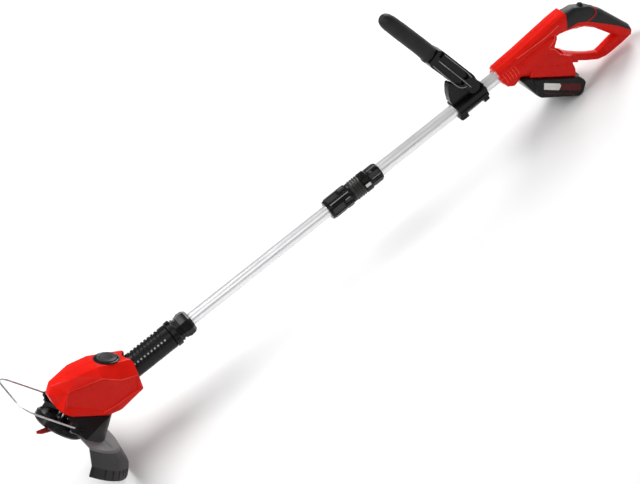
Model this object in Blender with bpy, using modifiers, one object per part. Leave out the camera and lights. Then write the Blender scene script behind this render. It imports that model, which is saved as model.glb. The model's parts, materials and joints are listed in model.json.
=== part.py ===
"""Cordless string trimmer, built as separate pieces at their real size. Metres, +Z up, lying on the floor.

The tool frame has x along the tube from the cutting head to the rear handle, y to the tool's right and z up.
The head frame turns with the motor axis: r runs rearward, y to the right, h up the motor axis.
The handle frame turns with the battery and the grip: a runs rearward, y to the right, c up.
"""

import math

import bmesh
import bpy
import numpy as np
from mathutils import Matrix, Vector

MM = 0.001
GAP = 0.3 * MM

# Driving sizes of the shaft, measured along the tube from the cutting disc's centre
TUBE_SIDES = 32
ROUND_SIDES = 24
UPPER_TUBE_R = 12.8 * MM
UPPER_TUBE_WALL = 0.8 * MM
LOWER_TUBE_WALL = 0.9 * MM
TUBE_CLEARANCE = 0.3 * MM
LOWER_TUBE_R = UPPER_TUBE_R - UPPER_TUBE_WALL - TUBE_CLEARANCE
SLEEVE_END = 250 * MM
RING_LENGTH = 11 * MM
COLLAR_LENGTH = 30 * MM
SHOWN_LOWER_TUBE = 312 * MM
LOCK_NUT_LENGTH = 53 * MM
THREAD_LENGTH = 24 * MM
UPPER_COLLAR_LENGTH = 41 * MM
SHOWN_UPPER_TUBE = 266 * MM
TUBE_IN_HOUSING = 52 * MM
TUBE_OVERLAP = 90 * MM
TUBE_IN_COLLAR = 24 * MM
TELESCOPE_TRAVEL = 270 * MM

RING_START = SLEEVE_END + GAP
COLLAR_START = RING_START + RING_LENGTH + 3 * MM
COLLAR_END = COLLAR_START + COLLAR_LENGTH
LOCK_START = COLLAR_END + SHOWN_LOWER_TUBE
THREAD_START = LOCK_START + LOCK_NUT_LENGTH + GAP
UPPER_COLLAR_START = THREAD_START + THREAD_LENGTH
UPPER_COLLAR_END = UPPER_COLLAR_START + UPPER_COLLAR_LENGTH
HOUSING_START = UPPER_COLLAR_END + SHOWN_UPPER_TUBE

# Cutting head
HEAD_ANGLE = math.radians(61.7)
HEAD_TILT_UP = math.radians(20)
HEAD_TILT_DOWN = math.radians(20)
HINGE_X = 146 * MM
BALL_R = 23.5 * MM
SLEEVE_R = 23.5 * MM
SOCKET_CLEARANCE = 0.5 * MM
DISC_R = 47 * MM
DISC_TOP = 11 * MM
DISC_BOTTOM = -7 * MM
SHAFT_R = 3 * MM
MOTOR_R = 18.5 * MM
MOTOR_BOTTOM = 48 * MM
MOTOR_TOP = 99 * MM
HOUSING_FLOOR_AT_AXIS = 34.4 * MM
HOUSING_FLOOR_SLOPE = 0.365
BUTTON_R = 18.5 * MM
BUTTON_TRAVEL = 3 * MM
BLADE_R = 120 * MM

# Guard
GUARD_SPAN_LEFT = math.radians(86)
GUARD_SPAN_RIGHT = math.radians(74)
GUARD_WALL = 2.6 * MM
PLATE_H = 12.5 * MM
COLLAR_BASE_R = 84 * MM
PLATE_R = 111 * MM
SKIRT_R = 142 * MM
SKIRT_H = -8 * MM
RIM_R = 149 * MM
RIM_H = -26 * MM
WIRE_R = 1.8 * MM
WIRE_HALF_WIDTH = 70 * MM
WIRE_REACH = 122 * MM
WIRE_H = 24 * MM
WIRE_PIVOT_R = -11 * MM

# Rear handle and battery
HANDLE_ANGLE = math.radians(38)
SHELL_SPLIT = 0.15 * MM
BATTERY_SLIDE = 75 * MM

RED = (0.62, 0.03, 0.02, 1)
BLACK = (0.025, 0.025, 0.028, 1)
DARK_GREY = (0.07, 0.07, 0.075, 1)
ALUMINIUM = (0.86, 0.87, 0.88, 1)
STEEL = (0.6, 0.6, 0.62, 1)


def clear_scene():
    for old in list(bpy.data.objects):
        bpy.data.objects.remove(old, do_unlink=True)


def new_collection(name):
    collection = bpy.data.collections.new(name)
    bpy.context.scene.collection.children.link(collection)
    return collection


def new_material(name, colour, roughness, metallic=0.0):
    material = bpy.data.materials.new(name)
    material.use_nodes = True
    shader = material.node_tree.nodes["Principled BSDF"]
    shader.inputs["Base Color"].default_value = colour
    shader.inputs["Roughness"].default_value = roughness
    shader.inputs["Metallic"].default_value = metallic
    material.diffuse_color = colour
    return material


clear_scene()
PARTS = new_collection("string_trimmer")
CUTTERS = new_collection("cutters")
CUTTERS.hide_render = True


def new_frame(name, parent=None, location=(0, 0, 0), turn_y=0.0):
    frame = bpy.data.objects.new(name, None)
    PARTS.objects.link(frame)
    frame.parent = parent
    frame.location = location
    frame.rotation_euler = (0, turn_y, 0)
    return frame


TOOL = new_frame("tool_frame")
TUBE = new_frame("tube_frame", TOOL, turn_y=math.pi / 2)
HEAD = new_frame("head_frame", TOOL, turn_y=HEAD_ANGLE)
HANDLE = new_frame("handle_frame", TOOL, (HOUSING_START, 0, 0), turn_y=HANDLE_ANGLE)


def to_head(x, z):
    """A point of the tool's side view, as (r, h) in the head frame."""
    r = x * math.cos(HEAD_ANGLE) - z * math.sin(HEAD_ANGLE)
    h = x * math.sin(HEAD_ANGLE) + z * math.cos(HEAD_ANGLE)
    return r, h


def add_object(name, mesh, frame, look, cutter=False):
    body = bpy.data.objects.new(name, mesh)
    (CUTTERS if cutter else PARTS).objects.link(body)
    body.parent = frame
    if cutter:
        body.hide_render = True
        body.display_type = "WIRE"
    else:
        colour, roughness, metallic = look
        body.data.materials.append(new_material(name, colour, roughness, metallic))
    return body


def finish_mesh(name, bm, smooth=True):
    bmesh.ops.recalc_face_normals(bm, faces=bm.faces)
    mesh = bpy.data.meshes.new(name)
    bm.to_mesh(mesh)
    bm.free()
    if smooth:
        mesh.shade_smooth()
        mesh.set_sharp_from_angle(angle=math.radians(30))
    return mesh


def box_mesh(name, low, high):
    bm = bmesh.new()
    size = [high[i] - low[i] for i in range(3)]
    middle = [(high[i] + low[i]) / 2 for i in range(3)]
    bmesh.ops.create_cube(bm, size=1, matrix=Matrix.Translation(middle) @ Matrix.Diagonal((*size, 1)))
    return finish_mesh(name, bm, smooth=False)


def rod_mesh(name, start, end, radius, end_radius=None, sides=24):
    """A round rod or cone between two points."""
    start, end = Vector(start), Vector(end)
    along = end - start
    bm = bmesh.new()
    place = Matrix.Translation((start + end) / 2) @ along.to_track_quat("Z", "Y").to_matrix().to_4x4()
    top = radius if end_radius is None else end_radius
    bmesh.ops.create_cone(
        bm, cap_ends=True, segments=sides, radius1=radius, radius2=top, depth=along.length, matrix=place
    )
    return finish_mesh(name, bm)


def hull_mesh(name, points):
    """The convex solid round some corner points, as flat facets."""
    bm = bmesh.new()
    for point in points:
        bm.verts.new(point)
    made = bmesh.ops.convex_hull(bm, input=bm.verts)
    loose = [item for item in made["geom_interior"] + made["geom_unused"] if isinstance(item, bmesh.types.BMVert)]
    bmesh.ops.delete(bm, geom=list(set(loose)), context="VERTS")
    bmesh.ops.dissolve_limit(bm, angle_limit=math.radians(2), verts=bm.verts, edges=bm.edges)
    return finish_mesh(name, bm, smooth=False)


def loft_mesh(name, rings, closed=False):
    """Skins rings of equal count. An open loft has its two end rings filled."""
    bm = bmesh.new()
    rows = [[bm.verts.new(point) for point in ring] for ring in rings]
    pairs = list(zip(rows, rows[1:]))
    if closed:
        pairs.append((rows[-1], rows[0]))
    for one, other in pairs:
        for i in range(len(one)):
            j = (i + 1) % len(one)
            bm.faces.new((one[i], one[j], other[j], other[i]))
    if not closed:
        bm.faces.new(rows[0])
        bm.faces.new(list(reversed(rows[-1])))
    return finish_mesh(name, bm)


def prism_mesh(name, outline, low_y, high_y):
    """A side-view outline of (x, z) points, extruded from low_y to high_y."""
    rings = [[(x, y, z) for x, z in outline] for y in (low_y, high_y)]
    return loft_mesh(name, rings)


def turned(name, profile, frame, look, steps=ROUND_SIDES, cutter=False):
    """Turns (radius, along) points about the frame's z. They run down the outer side first, and close if hollow."""
    bm = bmesh.new()
    corners = [bm.verts.new((radius, 0, along)) for radius, along in profile]
    for one, other in zip(corners, corners[1:]):
        bm.edges.new((one, other))
    if profile[0][0] > 0:
        bm.edges.new((corners[-1], corners[0]))
    mesh = bpy.data.meshes.new(name)
    bm.to_mesh(mesh)
    bm.free()
    body = add_object(name, mesh, frame, look, cutter)
    screw = body.modifiers.new("turn", "SCREW")
    screw.steps = steps
    screw.render_steps = steps
    screw.use_merge_vertices = True
    screw.merge_threshold = 0.00001
    return body


def swept_mesh(name, points, radius, sides_resolution=2, cyclic=False):
    """A round wire along a list of points, as a mesh with its caps welded on."""
    curve = bpy.data.curves.new(name, "CURVE")
    curve.dimensions = "3D"
    curve.bevel_depth = radius
    curve.bevel_resolution = sides_resolution
    curve.use_fill_caps = True
    spline = curve.splines.new("POLY")
    spline.points.add(len(points) - 1)
    for corner, point in zip(spline.points, points):
        corner.co = (*point, 1)
    spline.use_cyclic_u = cyclic
    guide = bpy.data.objects.new(name, curve)
    bpy.context.scene.collection.objects.link(guide)
    graph = bpy.context.evaluated_depsgraph_get()
    mesh = bpy.data.meshes.new_from_object(guide.evaluated_get(graph))
    bpy.data.objects.remove(guide, do_unlink=True)
    bm = bmesh.new()
    bm.from_mesh(mesh)
    bmesh.ops.remove_doubles(bm, verts=bm.verts, dist=0.000002)
    bpy.data.meshes.remove(mesh)
    return finish_mesh(name, bm)


def superellipse(half_wide, half_high, power=2.6, count=16, middle=(0.0, 0.0)):
    """Points of a rounded section, as (across, up)."""
    points = []
    for i in range(count):
        angle = 2 * math.pi * (i + 0.5) / count
        across, up = math.cos(angle), math.sin(angle)
        across = math.copysign(abs(across) ** (2 / power), across) * half_wide
        up = math.copysign(abs(up) ** (2 / power), up) * half_high
        points.append((middle[0] + across, middle[1] + up))
    return points


def boolean(body, other, operation="DIFFERENCE"):
    step = body.modifiers.new(operation.lower(), "BOOLEAN")
    step.operation = operation
    step.solver = "EXACT"
    step.object = other


def cut(body, name, mesh, frame):
    tool = add_object(f"cut_{name}", mesh, frame, None, cutter=True)
    boolean(body, tool)
    return tool


def fuse(body, name, mesh, frame):
    tool = add_object(f"join_{name}", mesh, frame, None, cutter=True)
    boolean(body, tool, "UNION")
    return tool


def bevel(body, width, segments=2, angle=30):
    step = body.modifiers.new("bevel", "BEVEL")
    step.width = width
    step.segments = segments
    step.limit_method = "ANGLE"
    step.angle_limit = math.radians(angle)
    step.use_clamp_overlap = True


def move_origin(body, point):
    """Puts the origin on a joint's axis, with the shape where it was."""
    body.data.transform(Matrix.Translation(-Vector(point)))
    body.location = Vector(body.location) + Vector(point)


def part(name, mesh, frame, look):
    return add_object(name, mesh, frame, look)


RED_PLASTIC = (RED, 0.32, 0.0)
BLACK_PLASTIC = (BLACK, 0.42, 0.0)
GREY_PLASTIC = (DARK_GREY, 0.5, 0.0)
SOFT_GRIP = (BLACK, 0.75, 0.0)
BRIGHT_STEEL = (STEEL, 0.3, 1.0)
POLISHED_ALUMINIUM = (ALUMINIUM, 0.28, 1.0)


# Side view of the motor housing, in the head frame: r, half width, h
FACET_FRONT = (-1 * MM, 24 * MM, 127 * MM)
FACET_REAR = (55 * MM, 19 * MM, 159.5 * MM)
HOUSING_HALF_WIDTH = 44 * MM


def housing_corners():
    """Corners of the faceted body on both sides, round its nose, top facet, neck and floor."""
    floor_front = -8 * MM
    floor_rear = 62 * MM
    wide = HOUSING_HALF_WIDTH
    corners = [
        (-56 * MM, 8 * MM, 64 * MM),
        (-53 * MM, 9 * MM, 46 * MM),
        (-34 * MM, 33 * MM, 71 * MM),
        (-25 * MM, 32 * MM, 29 * MM),
        (-28 * MM, 24 * MM, 100 * MM),
        FACET_FRONT,
        (9 * MM, wide - 6 * MM, 114 * MM),
        (40 * MM, wide - 1 * MM, 122 * MM),
        FACET_REAR,
        (63 * MM, 23 * MM, 156.5 * MM),
        (77 * MM, 35 * MM, 145 * MM),
        (98 * MM, 36 * MM, 122 * MM),
        (89 * MM, wide - 4 * MM, 99 * MM),
        (81 * MM, wide - 6 * MM, 73 * MM),
        (floor_rear, wide - 4 * MM, floor_height(floor_rear)),
        (floor_front, wide - 3 * MM, floor_height(floor_front)),
        (-16 * MM, wide - 0.5 * MM, 43 * MM),
        (46 * MM, wide + 0.5 * MM, 60 * MM),
    ]
    return [(r, side * y, h) for r, y, h in corners for side in (-1, 1)]


def floor_height(r):
    """Height of the housing's sloping underside above the disc's mid plane."""
    return HOUSING_FLOOR_AT_AXIS + HOUSING_FLOOR_SLOPE * r


HINGE_R, HINGE_H = to_head(HINGE_X, 0)
PIN_R = 3 * MM
PIN_HALF_LENGTH = 26 * MM
BUTTON_ALONG = 0.42
BUTTON_SEAT = 8 * MM
BUTTON_TOP = 1.8 * MM
DISH_DEPTH = 3 * MM
DISH_REACH = 4 * MM
BUTTON_LEAN = -math.atan2(FACET_REAR[2] - FACET_FRONT[2], FACET_REAR[0] - FACET_FRONT[0])
BUTTON_CENTRE = tuple(
    FACET_FRONT[i] + BUTTON_ALONG * (FACET_REAR[i] - FACET_FRONT[i]) if i != 1 else 0.0 for i in range(3)
)
BUTTON = new_frame("button_frame", HEAD, BUTTON_CENTRE, BUTTON_LEAN)
SCREW_HEAD_R = 3.2 * MM
SCREW_SHANK_R = 1.6 * MM
SCREW_HEAD_H = 2.4 * MM
HEAD_SCREWS = [(-27 * MM, 52 * MM), (4 * MM, 108 * MM), (40 * MM, 106 * MM), (62 * MM, 74 * MM)]
HEAD_SCREW_SEAT = 22 * MM
HEAD_SCREW_TIP = -15 * MM
BUSHING_R = 6 * MM
BUSHING_BOTTOM = 39 * MM
PANEL_INSET = 5 * MM
PANEL_DEPTH = 1.3 * MM


def joined_rods(name, rods, sides=10):
    """One mesh of separate rods, each (start, end, radius)."""
    bm = bmesh.new()
    for start, end, radius in rods:
        start, end = Vector(start), Vector(end)
        along = end - start
        place = Matrix.Translation((start + end) / 2) @ along.to_track_quat("Z", "Y").to_matrix().to_4x4()
        bmesh.ops.create_cone(
            bm, cap_ends=True, segments=sides, radius1=radius, radius2=radius, depth=along.length, matrix=place
        )
    return finish_mesh(name, bm)


def stepped_mesh(name, start, way, stages, sides=8):
    """A round piece along a line from start, through (distance, radius) stages."""
    place = Matrix.Translation(start) @ Vector(way).to_track_quat("Z", "Y").to_matrix().to_4x4()
    rings = []
    for distance, radius in stages:
        ring = []
        for i in range(sides):
            angle = 2 * math.pi * i / sides
            ring.append(place @ Vector((radius * math.cos(angle), radius * math.sin(angle), distance)))
        rings.append(ring)
    return loft_mesh(name, rings)


def screw(name, seat_point, way, shank, frame):
    """A screw with its head's underside at the seat point. Its head points along way and has a driving socket."""
    socket = 0.5 * SCREW_HEAD_R
    stages = [
        (-shank, SCREW_SHANK_R),
        (0, SCREW_SHANK_R),
        (0, SCREW_HEAD_R),
        (SCREW_HEAD_H, SCREW_HEAD_R),
        (SCREW_HEAD_H, socket),
        (SCREW_HEAD_H - 1.2 * MM, socket),
    ]
    return part(name, stepped_mesh(name, seat_point, way, stages), frame, BRIGHT_STEEL)


def screws(name, places, seat, tip, frame):
    """Screws driven in from the right-hand side, along -y."""
    for number, (a, c) in enumerate(places, 1):
        screw(f"{name}_{number}", (a, seat, c), (0, 1, 0), seat - tip, frame)


def screw_holes(bodies, name, places, seat, tip, frame, open_to):
    """Counterbores and pilot holes for the screws, cut in both shells."""
    bores = [((a, seat - GAP, c), (a, open_to, c), SCREW_HEAD_R + GAP) for a, c in places]
    pilots = [((a, tip - GAP, c), (a, seat + 1 * MM, c), SCREW_SHANK_R + GAP) for a, c in places]
    for kind, rods, sides in (("bores", bores, 10), ("pilots", pilots, 8)):
        tool = add_object(f"cut_{name}_{kind}", joined_rods(name, rods, sides), frame, None, cutter=True)
        for body in bodies:
            boolean(body, tool)


def recess_side_panels(mesh):
    """Sinks the large facet on each flank, the way the moulded shells have it."""
    bm = bmesh.new()
    bm.from_mesh(mesh)
    flanks = []
    for side in (-1, 1):
        facing = [face for face in bm.faces if face.normal.y * side > 0.9]
        flanks.append(max(facing, key=lambda face: face.calc_area()))
    bmesh.ops.inset_individual(bm, faces=flanks, thickness=PANEL_INSET, depth=-PANEL_DEPTH)
    bm.to_mesh(mesh)
    bm.free()


def motor_housing():
    shells = []
    for side, name in ((-1, "motor_housing_left"), (1, "motor_housing_right")):
        mesh = hull_mesh(name, housing_corners())
        recess_side_panels(mesh)
        shell = part(name, mesh, HEAD, RED_PLASTIC)
        bevel(shell, 2 * MM, 1, 12)
        shells.append(shell)
        far = 2.4 * HOUSING_HALF_WIDTH
        low = (-far, -SHELL_SPLIT, 0) if side < 0 else (-far, -far, 0)
        high = (2 * far, far, 2 * far) if side < 0 else (2 * far, SHELL_SPLIT, 2 * far)
        cut(shell, f"{name}_half", box_mesh(name, low, high), HEAD)
    bay = rod_mesh("bay", (0, 0, MOTOR_BOTTOM - GAP), (0, 0, MOTOR_TOP + GAP), MOTOR_R + 2 * GAP, sides=20)
    bore = rod_mesh("bore", (0, 0, 0), (0, 0, MOTOR_BOTTOM), SHAFT_R + 1 * MM, sides=12)
    seat = rod_mesh("seat", (0, 0, BUSHING_BOTTOM - GAP), (0, 0, MOTOR_BOTTOM), BUSHING_R + GAP, sides=16)
    hinge = Vector((HINGE_R, 0, HINGE_H))
    pin = rod_mesh(
        "pin",
        hinge - Vector((0, PIN_HALF_LENGTH + GAP, 0)),
        hinge + Vector((0, PIN_HALF_LENGTH + GAP, 0)),
        PIN_R + GAP,
        sides=12,
    )
    tools = [("bay", bay), ("shaft_bore", bore), ("bushing_seat", seat), ("tilt_pin_bore", pin)]
    ball = bmesh.new()
    bmesh.ops.create_uvsphere(
        ball, u_segments=16, v_segments=10, radius=BALL_R + 2 * SOCKET_CLEARANCE, matrix=Matrix.Translation(hinge)
    )
    tools.append(("ball_socket", finish_mesh("ball_socket", ball)))
    steps = 4
    for i in range(steps + 1):
        swing = -HEAD_TILT_DOWN + (HEAD_TILT_DOWN + HEAD_TILT_UP) * i / steps
        along = Vector((math.cos(HEAD_ANGLE - swing), 0, math.sin(HEAD_ANGLE - swing)))
        way = rod_mesh("way", hinge, hinge + along * 60 * MM, SLEEVE_R + 2 * SOCKET_CLEARANCE, sides=20)
        tools.append((f"sleeve_way_{i}", way))
    for name, mesh in tools:
        tool = add_object(f"cut_head_{name}", mesh, HEAD, None, cutter=True)
        for shell in shells:
            boolean(shell, tool)
    way = BUTTON_R + 2 * GAP
    recess = rod_mesh("recess", (0, 0, -BUTTON_SEAT), (0, 0, 20 * MM), way, sides=ROUND_SIDES)
    dish_end = way + DISH_DEPTH + DISH_REACH
    dish = rod_mesh("dish", (0, 0, -DISH_DEPTH), (0, 0, DISH_REACH), way, dish_end, sides=ROUND_SIDES)
    for name, mesh in (("recess", recess), ("dish", dish)):
        tool = add_object(f"cut_button_{name}", mesh, BUTTON, None, cutter=True)
        for shell in shells:
            boolean(shell, tool)
    screw_holes(shells, "head_screws", HEAD_SCREWS, HEAD_SCREW_SEAT, HEAD_SCREW_TIP, HEAD, 60 * MM)
    screws("head_screw", HEAD_SCREWS, HEAD_SCREW_SEAT, HEAD_SCREW_TIP, HEAD)


def motor_and_shaft():
    bore = SHAFT_R + GAP
    can = [
        (7 * MM, MOTOR_TOP),
        (MOTOR_R - 2 * MM, MOTOR_TOP),
        (MOTOR_R, MOTOR_TOP - 2 * MM),
        (MOTOR_R, MOTOR_BOTTOM + 2 * MM),
        (MOTOR_R - 2 * MM, MOTOR_BOTTOM),
        (bore, MOTOR_BOTTOM),
        (bore, MOTOR_TOP - 6 * MM),
        (7 * MM, MOTOR_TOP - 4 * MM),
    ]
    turned("motor", can, HEAD, BRIGHT_STEEL, 20)
    bushing = [
        (BUSHING_R, MOTOR_BOTTOM - GAP),
        (BUSHING_R, BUSHING_BOTTOM),
        (bore, BUSHING_BOTTOM),
        (bore, MOTOR_BOTTOM - GAP),
    ]
    turned("shaft_bushing", bushing, HEAD, (STEEL, 0.4, 1.0), 16)
    shaft = [
        (0, MOTOR_TOP - 8 * MM),
        (SHAFT_R, MOTOR_TOP - 8 * MM),
        (SHAFT_R, DISC_BOTTOM - SHAFT_END),
        (0, DISC_BOTTOM - SHAFT_END),
    ]
    turned("motor_shaft", shaft, HEAD, BRIGHT_STEEL, 16)


SHAFT_END = 10 * MM
NUT_HEIGHT = 5 * MM
DISC_HUB = 4 * MM
PIN_PLACE = (11 * MM, 29 * MM)
BLADE_LENGTH = BLADE_R - math.hypot(*PIN_PLACE)
BLADE_HEADING = math.radians(224)
BLADE_TOP = DISC_BOTTOM - SHAFT_END - 0.6 * MM
BLADE_THICK = 2.2 * MM
BLADE_PIN_R = 2.4 * MM
BLADE_HUB_R = 5.5 * MM
PIN_HEAD = 2.5 * MM


def cutter_disc():
    """The disc that carries the blade, with a hub on both sides."""
    bore = SHAFT_R + GAP
    edge = 4 * MM
    profile = [
        (bore, DISC_TOP + DISC_HUB),
        (10 * MM, DISC_TOP + DISC_HUB),
        (12 * MM, DISC_TOP),
        (DISC_R - edge, DISC_TOP),
        (DISC_R, DISC_TOP - edge),
        (DISC_R, DISC_BOTTOM + edge),
        (DISC_R - edge, DISC_BOTTOM),
        (14 * MM, DISC_BOTTOM),
        (12 * MM, DISC_BOTTOM - DISC_HUB),
        (bore, DISC_BOTTOM - DISC_HUB),
    ]
    disc = turned("cutting_disc", profile, HEAD, BLACK_PLASTIC, TUBE_SIDES)
    far = 40 * MM
    hole = rod_mesh("hole", (*PIN_PLACE, -far), (*PIN_PLACE, far), BLADE_PIN_R + GAP, sides=12)
    cut(disc, "blade_pin_hole", hole, HEAD)
    nut_top = DISC_BOTTOM - DISC_HUB - GAP
    nut_low = nut_top - NUT_HEIGHT
    hex_bore = bore / math.cos(math.pi / 6)
    nut = [(7 * MM, nut_top), (7 * MM, nut_low), (hex_bore, nut_low), (hex_bore, nut_top)]
    turned("disc_nut", nut, HEAD, BRIGHT_STEEL, 6)
    start = (*PIN_PLACE, BLADE_TOP - BLADE_THICK - 2 * MM)
    stages = [
        (0, BLADE_PIN_R),
        (DISC_TOP + GAP - start[2], BLADE_PIN_R),
        (DISC_TOP + GAP - start[2], 4.5 * MM),
        (DISC_TOP + PIN_HEAD - start[2], 4.5 * MM),
    ]
    part("blade_pin", stepped_mesh("blade_pin", start, (0, 0, 1), stages, 12), HEAD, BRIGHT_STEEL)


def swinging_blade():
    """A thin blade on a stem that turns about the pin, under the disc and clear of its nut."""
    along = Vector((math.cos(BLADE_HEADING), math.sin(BLADE_HEADING), 0))
    across = Vector((-along.y, along.x, 0))
    outline = [
        (-9 * MM, 3 * MM),
        (0, 6 * MM),
        (0.3 * BLADE_LENGTH, 7 * MM),
        (0.8 * BLADE_LENGTH, 5.5 * MM),
        (BLADE_LENGTH, 1 * MM),
        (0.9 * BLADE_LENGTH, -4 * MM),
        (0.3 * BLADE_LENGTH, -5 * MM),
        (0, -6 * MM),
        (-9 * MM, -3 * MM),
    ]
    rings = []
    for h in (BLADE_TOP - BLADE_THICK, BLADE_TOP):
        rings.append([Vector((*PIN_PLACE, h)) + along * a + across * b for a, b in outline])
    blade = part("blade", loft_mesh("blade", rings), HEAD, RED_PLASTIC)
    low = (*PIN_PLACE, BLADE_TOP - BLADE_THICK - 1 * MM)
    stem = rod_mesh("stem", low, (*PIN_PLACE, DISC_BOTTOM - GAP), BLADE_HUB_R, sides=16)
    fuse(blade, "blade_stem", stem, HEAD)
    far = 60 * MM
    eye = rod_mesh("eye", (*PIN_PLACE, -far), (*PIN_PLACE, far), BLADE_PIN_R + GAP, sides=12)
    cut(blade, "blade_eye", eye, HEAD)
    move_origin(blade, (*PIN_PLACE, 0))


GUARD_STEPS = 20
HOLLOW_R = DISC_R + 10 * MM
HOLLOW_TOP = DISC_TOP + 10 * MM
PLATE_INNER_R = HOLLOW_R + 7 * MM
GUARD_SCREWS = [(38 * MM, -25 * MM), (38 * MM, 25 * MM), (-5 * MM, -30 * MM), (-5 * MM, 30 * MM)]
LUG_R = 7 * MM
LUG_FOOT_END = 30 * MM
LUG_INNER = 58 * MM
LUG_OUTER = WIRE_HALF_WIDTH - WIRE_R - 2.5 * MM


def guard_ring(angle, profile):
    return [(radius * math.cos(angle), radius * math.sin(angle), h) for radius, h in profile]


def guard_hood():
    wall = GUARD_WALL
    profile = [
        (PLATE_INNER_R, PLATE_H),
        (PLATE_R, PLATE_H),
        (SKIRT_R, SKIRT_H),
        (RIM_R, RIM_H),
        (RIM_R - wall, RIM_H),
        (SKIRT_R - wall, SKIRT_H - 0.4 * wall),
        (PLATE_R - 0.5 * wall, PLATE_H - wall),
        (PLATE_INNER_R, PLATE_H - wall),
    ]
    span = GUARD_SPAN_LEFT + GUARD_SPAN_RIGHT
    angles = [span * i / GUARD_STEPS - GUARD_SPAN_LEFT for i in range(GUARD_STEPS + 1)]
    hood = part("guard_hood", loft_mesh("guard_hood", [guard_ring(a, profile) for a in angles]), HEAD, GREY_PLASTIC)
    corners = []
    for angle in [0.96 * a + 0.01 for a in angles[::2]]:
        for h in (PLATE_H - 0.6 * wall, PLATE_H + 0.6 * MM):
            corners.append((COLLAR_BASE_R * math.cos(angle), COLLAR_BASE_R * math.sin(angle), h))
    clear = 0.35 * MM
    for r, y in ((-15, 36), (-9, 40), (60, 40), (68, 30)):
        for side in (-1, 1):
            corners.append((r * MM, side * y * MM, floor_height(r * MM) - clear))
    fuse(hood, "guard_collar", hull_mesh("guard_collar", corners), HEAD)
    lugs = []
    for side in (-1, 1):
        low, high = sorted((side * LUG_INNER, side * LUG_OUTER))
        lugs.append(((WIRE_PIVOT_R, low, WIRE_H), (WIRE_PIVOT_R, high, WIRE_H), LUG_R))
        foot = box_mesh("foot", (WIRE_PIVOT_R, low, PLATE_H - 1 * MM), (LUG_FOOT_END, high, WIRE_H))
        fuse(hood, f"lug_foot_{side + 1}", foot, HEAD)
    fuse(hood, "lugs", joined_rods("lugs", lugs, 16), HEAD)
    hollow = rod_mesh("hollow", (0, 0, -9 * MM), (0, 0, HOLLOW_TOP), HOLLOW_R, sides=24)
    cut(hood, "guard_hollow", hollow, HEAD)
    cut(hood, "guard_shaft_way", rod_mesh("way", (0, 0, 0), (0, 0, 60 * MM), SHAFT_R + 4 * MM, sides=12), HEAD)
    reach = WIRE_HALF_WIDTH + 10 * MM
    pivots = rod_mesh(
        "pivots", (WIRE_PIVOT_R, -reach, WIRE_H), (WIRE_PIVOT_R, reach, WIRE_H), WIRE_R + GAP, sides=12
    )
    cut(hood, "wire_pivot_holes", pivots, HEAD)
    bores = []
    pilots = []
    for number, (r, y) in enumerate(GUARD_SCREWS, 1):
        seat = floor_height(r) - 7 * MM
        tip = floor_height(r) + 8 * MM
        screw(f"guard_screw_{number}", (r, y, seat), (0, 0, -1), tip - seat, HEAD)
        bores.append(((r, y, HOLLOW_TOP - 3 * MM), (r, y, seat + GAP), SCREW_HEAD_R + GAP))
        pilots.append(((r, y, seat - 1 * MM), (r, y, tip + GAP), SCREW_SHANK_R + GAP))
    cut(hood, "guard_screw_bores", joined_rods("bores", bores), HEAD)
    pilot = cut(hood, "guard_screw_pilots", joined_rods("pilots", pilots, 8), HEAD)
    for name in ("motor_housing_left", "motor_housing_right"):
        boolean(bpy.data.objects[name], pilot)


def arc(centre, radius, start, end, count):
    """Points of an arc in the r-y plane, angles in degrees."""
    points = []
    for i in range(count + 1):
        angle = math.radians(start + (end - start) * i / count)
        points.append((centre[0] + radius * math.cos(angle), centre[1] + radius * math.sin(angle)))
    return points


def plant_guard():
    """A steel wire bow that hinges in the two lugs."""
    corner = 34 * MM
    front = -WIRE_REACH
    side = WIRE_HALF_WIDTH
    flat = [(WIRE_PIVOT_R, LUG_INNER + 1 * MM), (WIRE_PIVOT_R, side - 3 * MM)]
    flat += arc((WIRE_PIVOT_R - 3 * MM, side - 3 * MM), 3 * MM, 30, 90, 2)
    flat += arc((front + corner, side - corner), corner, 90, 180, 6)
    mirrored = [(r, -y) for r, y in reversed(flat)]
    points = [(r, y, WIRE_H) for r, y in flat + mirrored]
    wire = part("plant_guard_wire", swept_mesh("plant_guard_wire", points, WIRE_R), HEAD, BRIGHT_STEEL)
    move_origin(wire, (WIRE_PIVOT_R, 0, WIRE_H))


def tilt_button():
    rim = BUTTON_R
    top = BUTTON_TOP
    low = BUTTON_TRAVEL + GAP - BUTTON_SEAT
    profile = [
        (0, top - 2.6 * MM),
        (rim - 5 * MM, top - 1.6 * MM),
        (rim - 3.4 * MM, top),
        (rim - 1.2 * MM, top),
        (rim, top - 1.4 * MM),
        (rim, low),
        (0, low),
    ]
    turned("tilt_button", profile, BUTTON, BLACK_PLASTIC)


# Shaft pieces, turned in the tube frame: (radius, distance from the disc's centre along the tube)
SPIGOT_R = 14 * MM
SPIGOT_DEPTH = 42 * MM
RING_R = 25 * MM
NUB_R = 3.4 * MM
NUB_REACH = 28.5 * MM
COLLAR_LIP_R = RING_R - 3.6 * MM
RIB_PITCH = 7.5 * MM
SLEEVE_RIBS = 9
GROOVE_DEPTH = 1.5 * MM
GROOVE_WIDTH = 3.2 * MM
LOCK_NUT_R = 19.2 * MM
NECK_R = 15.6 * MM
THREAD_R = 20 * MM
UPPER_COLLAR_R = 17.6 * MM


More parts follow.
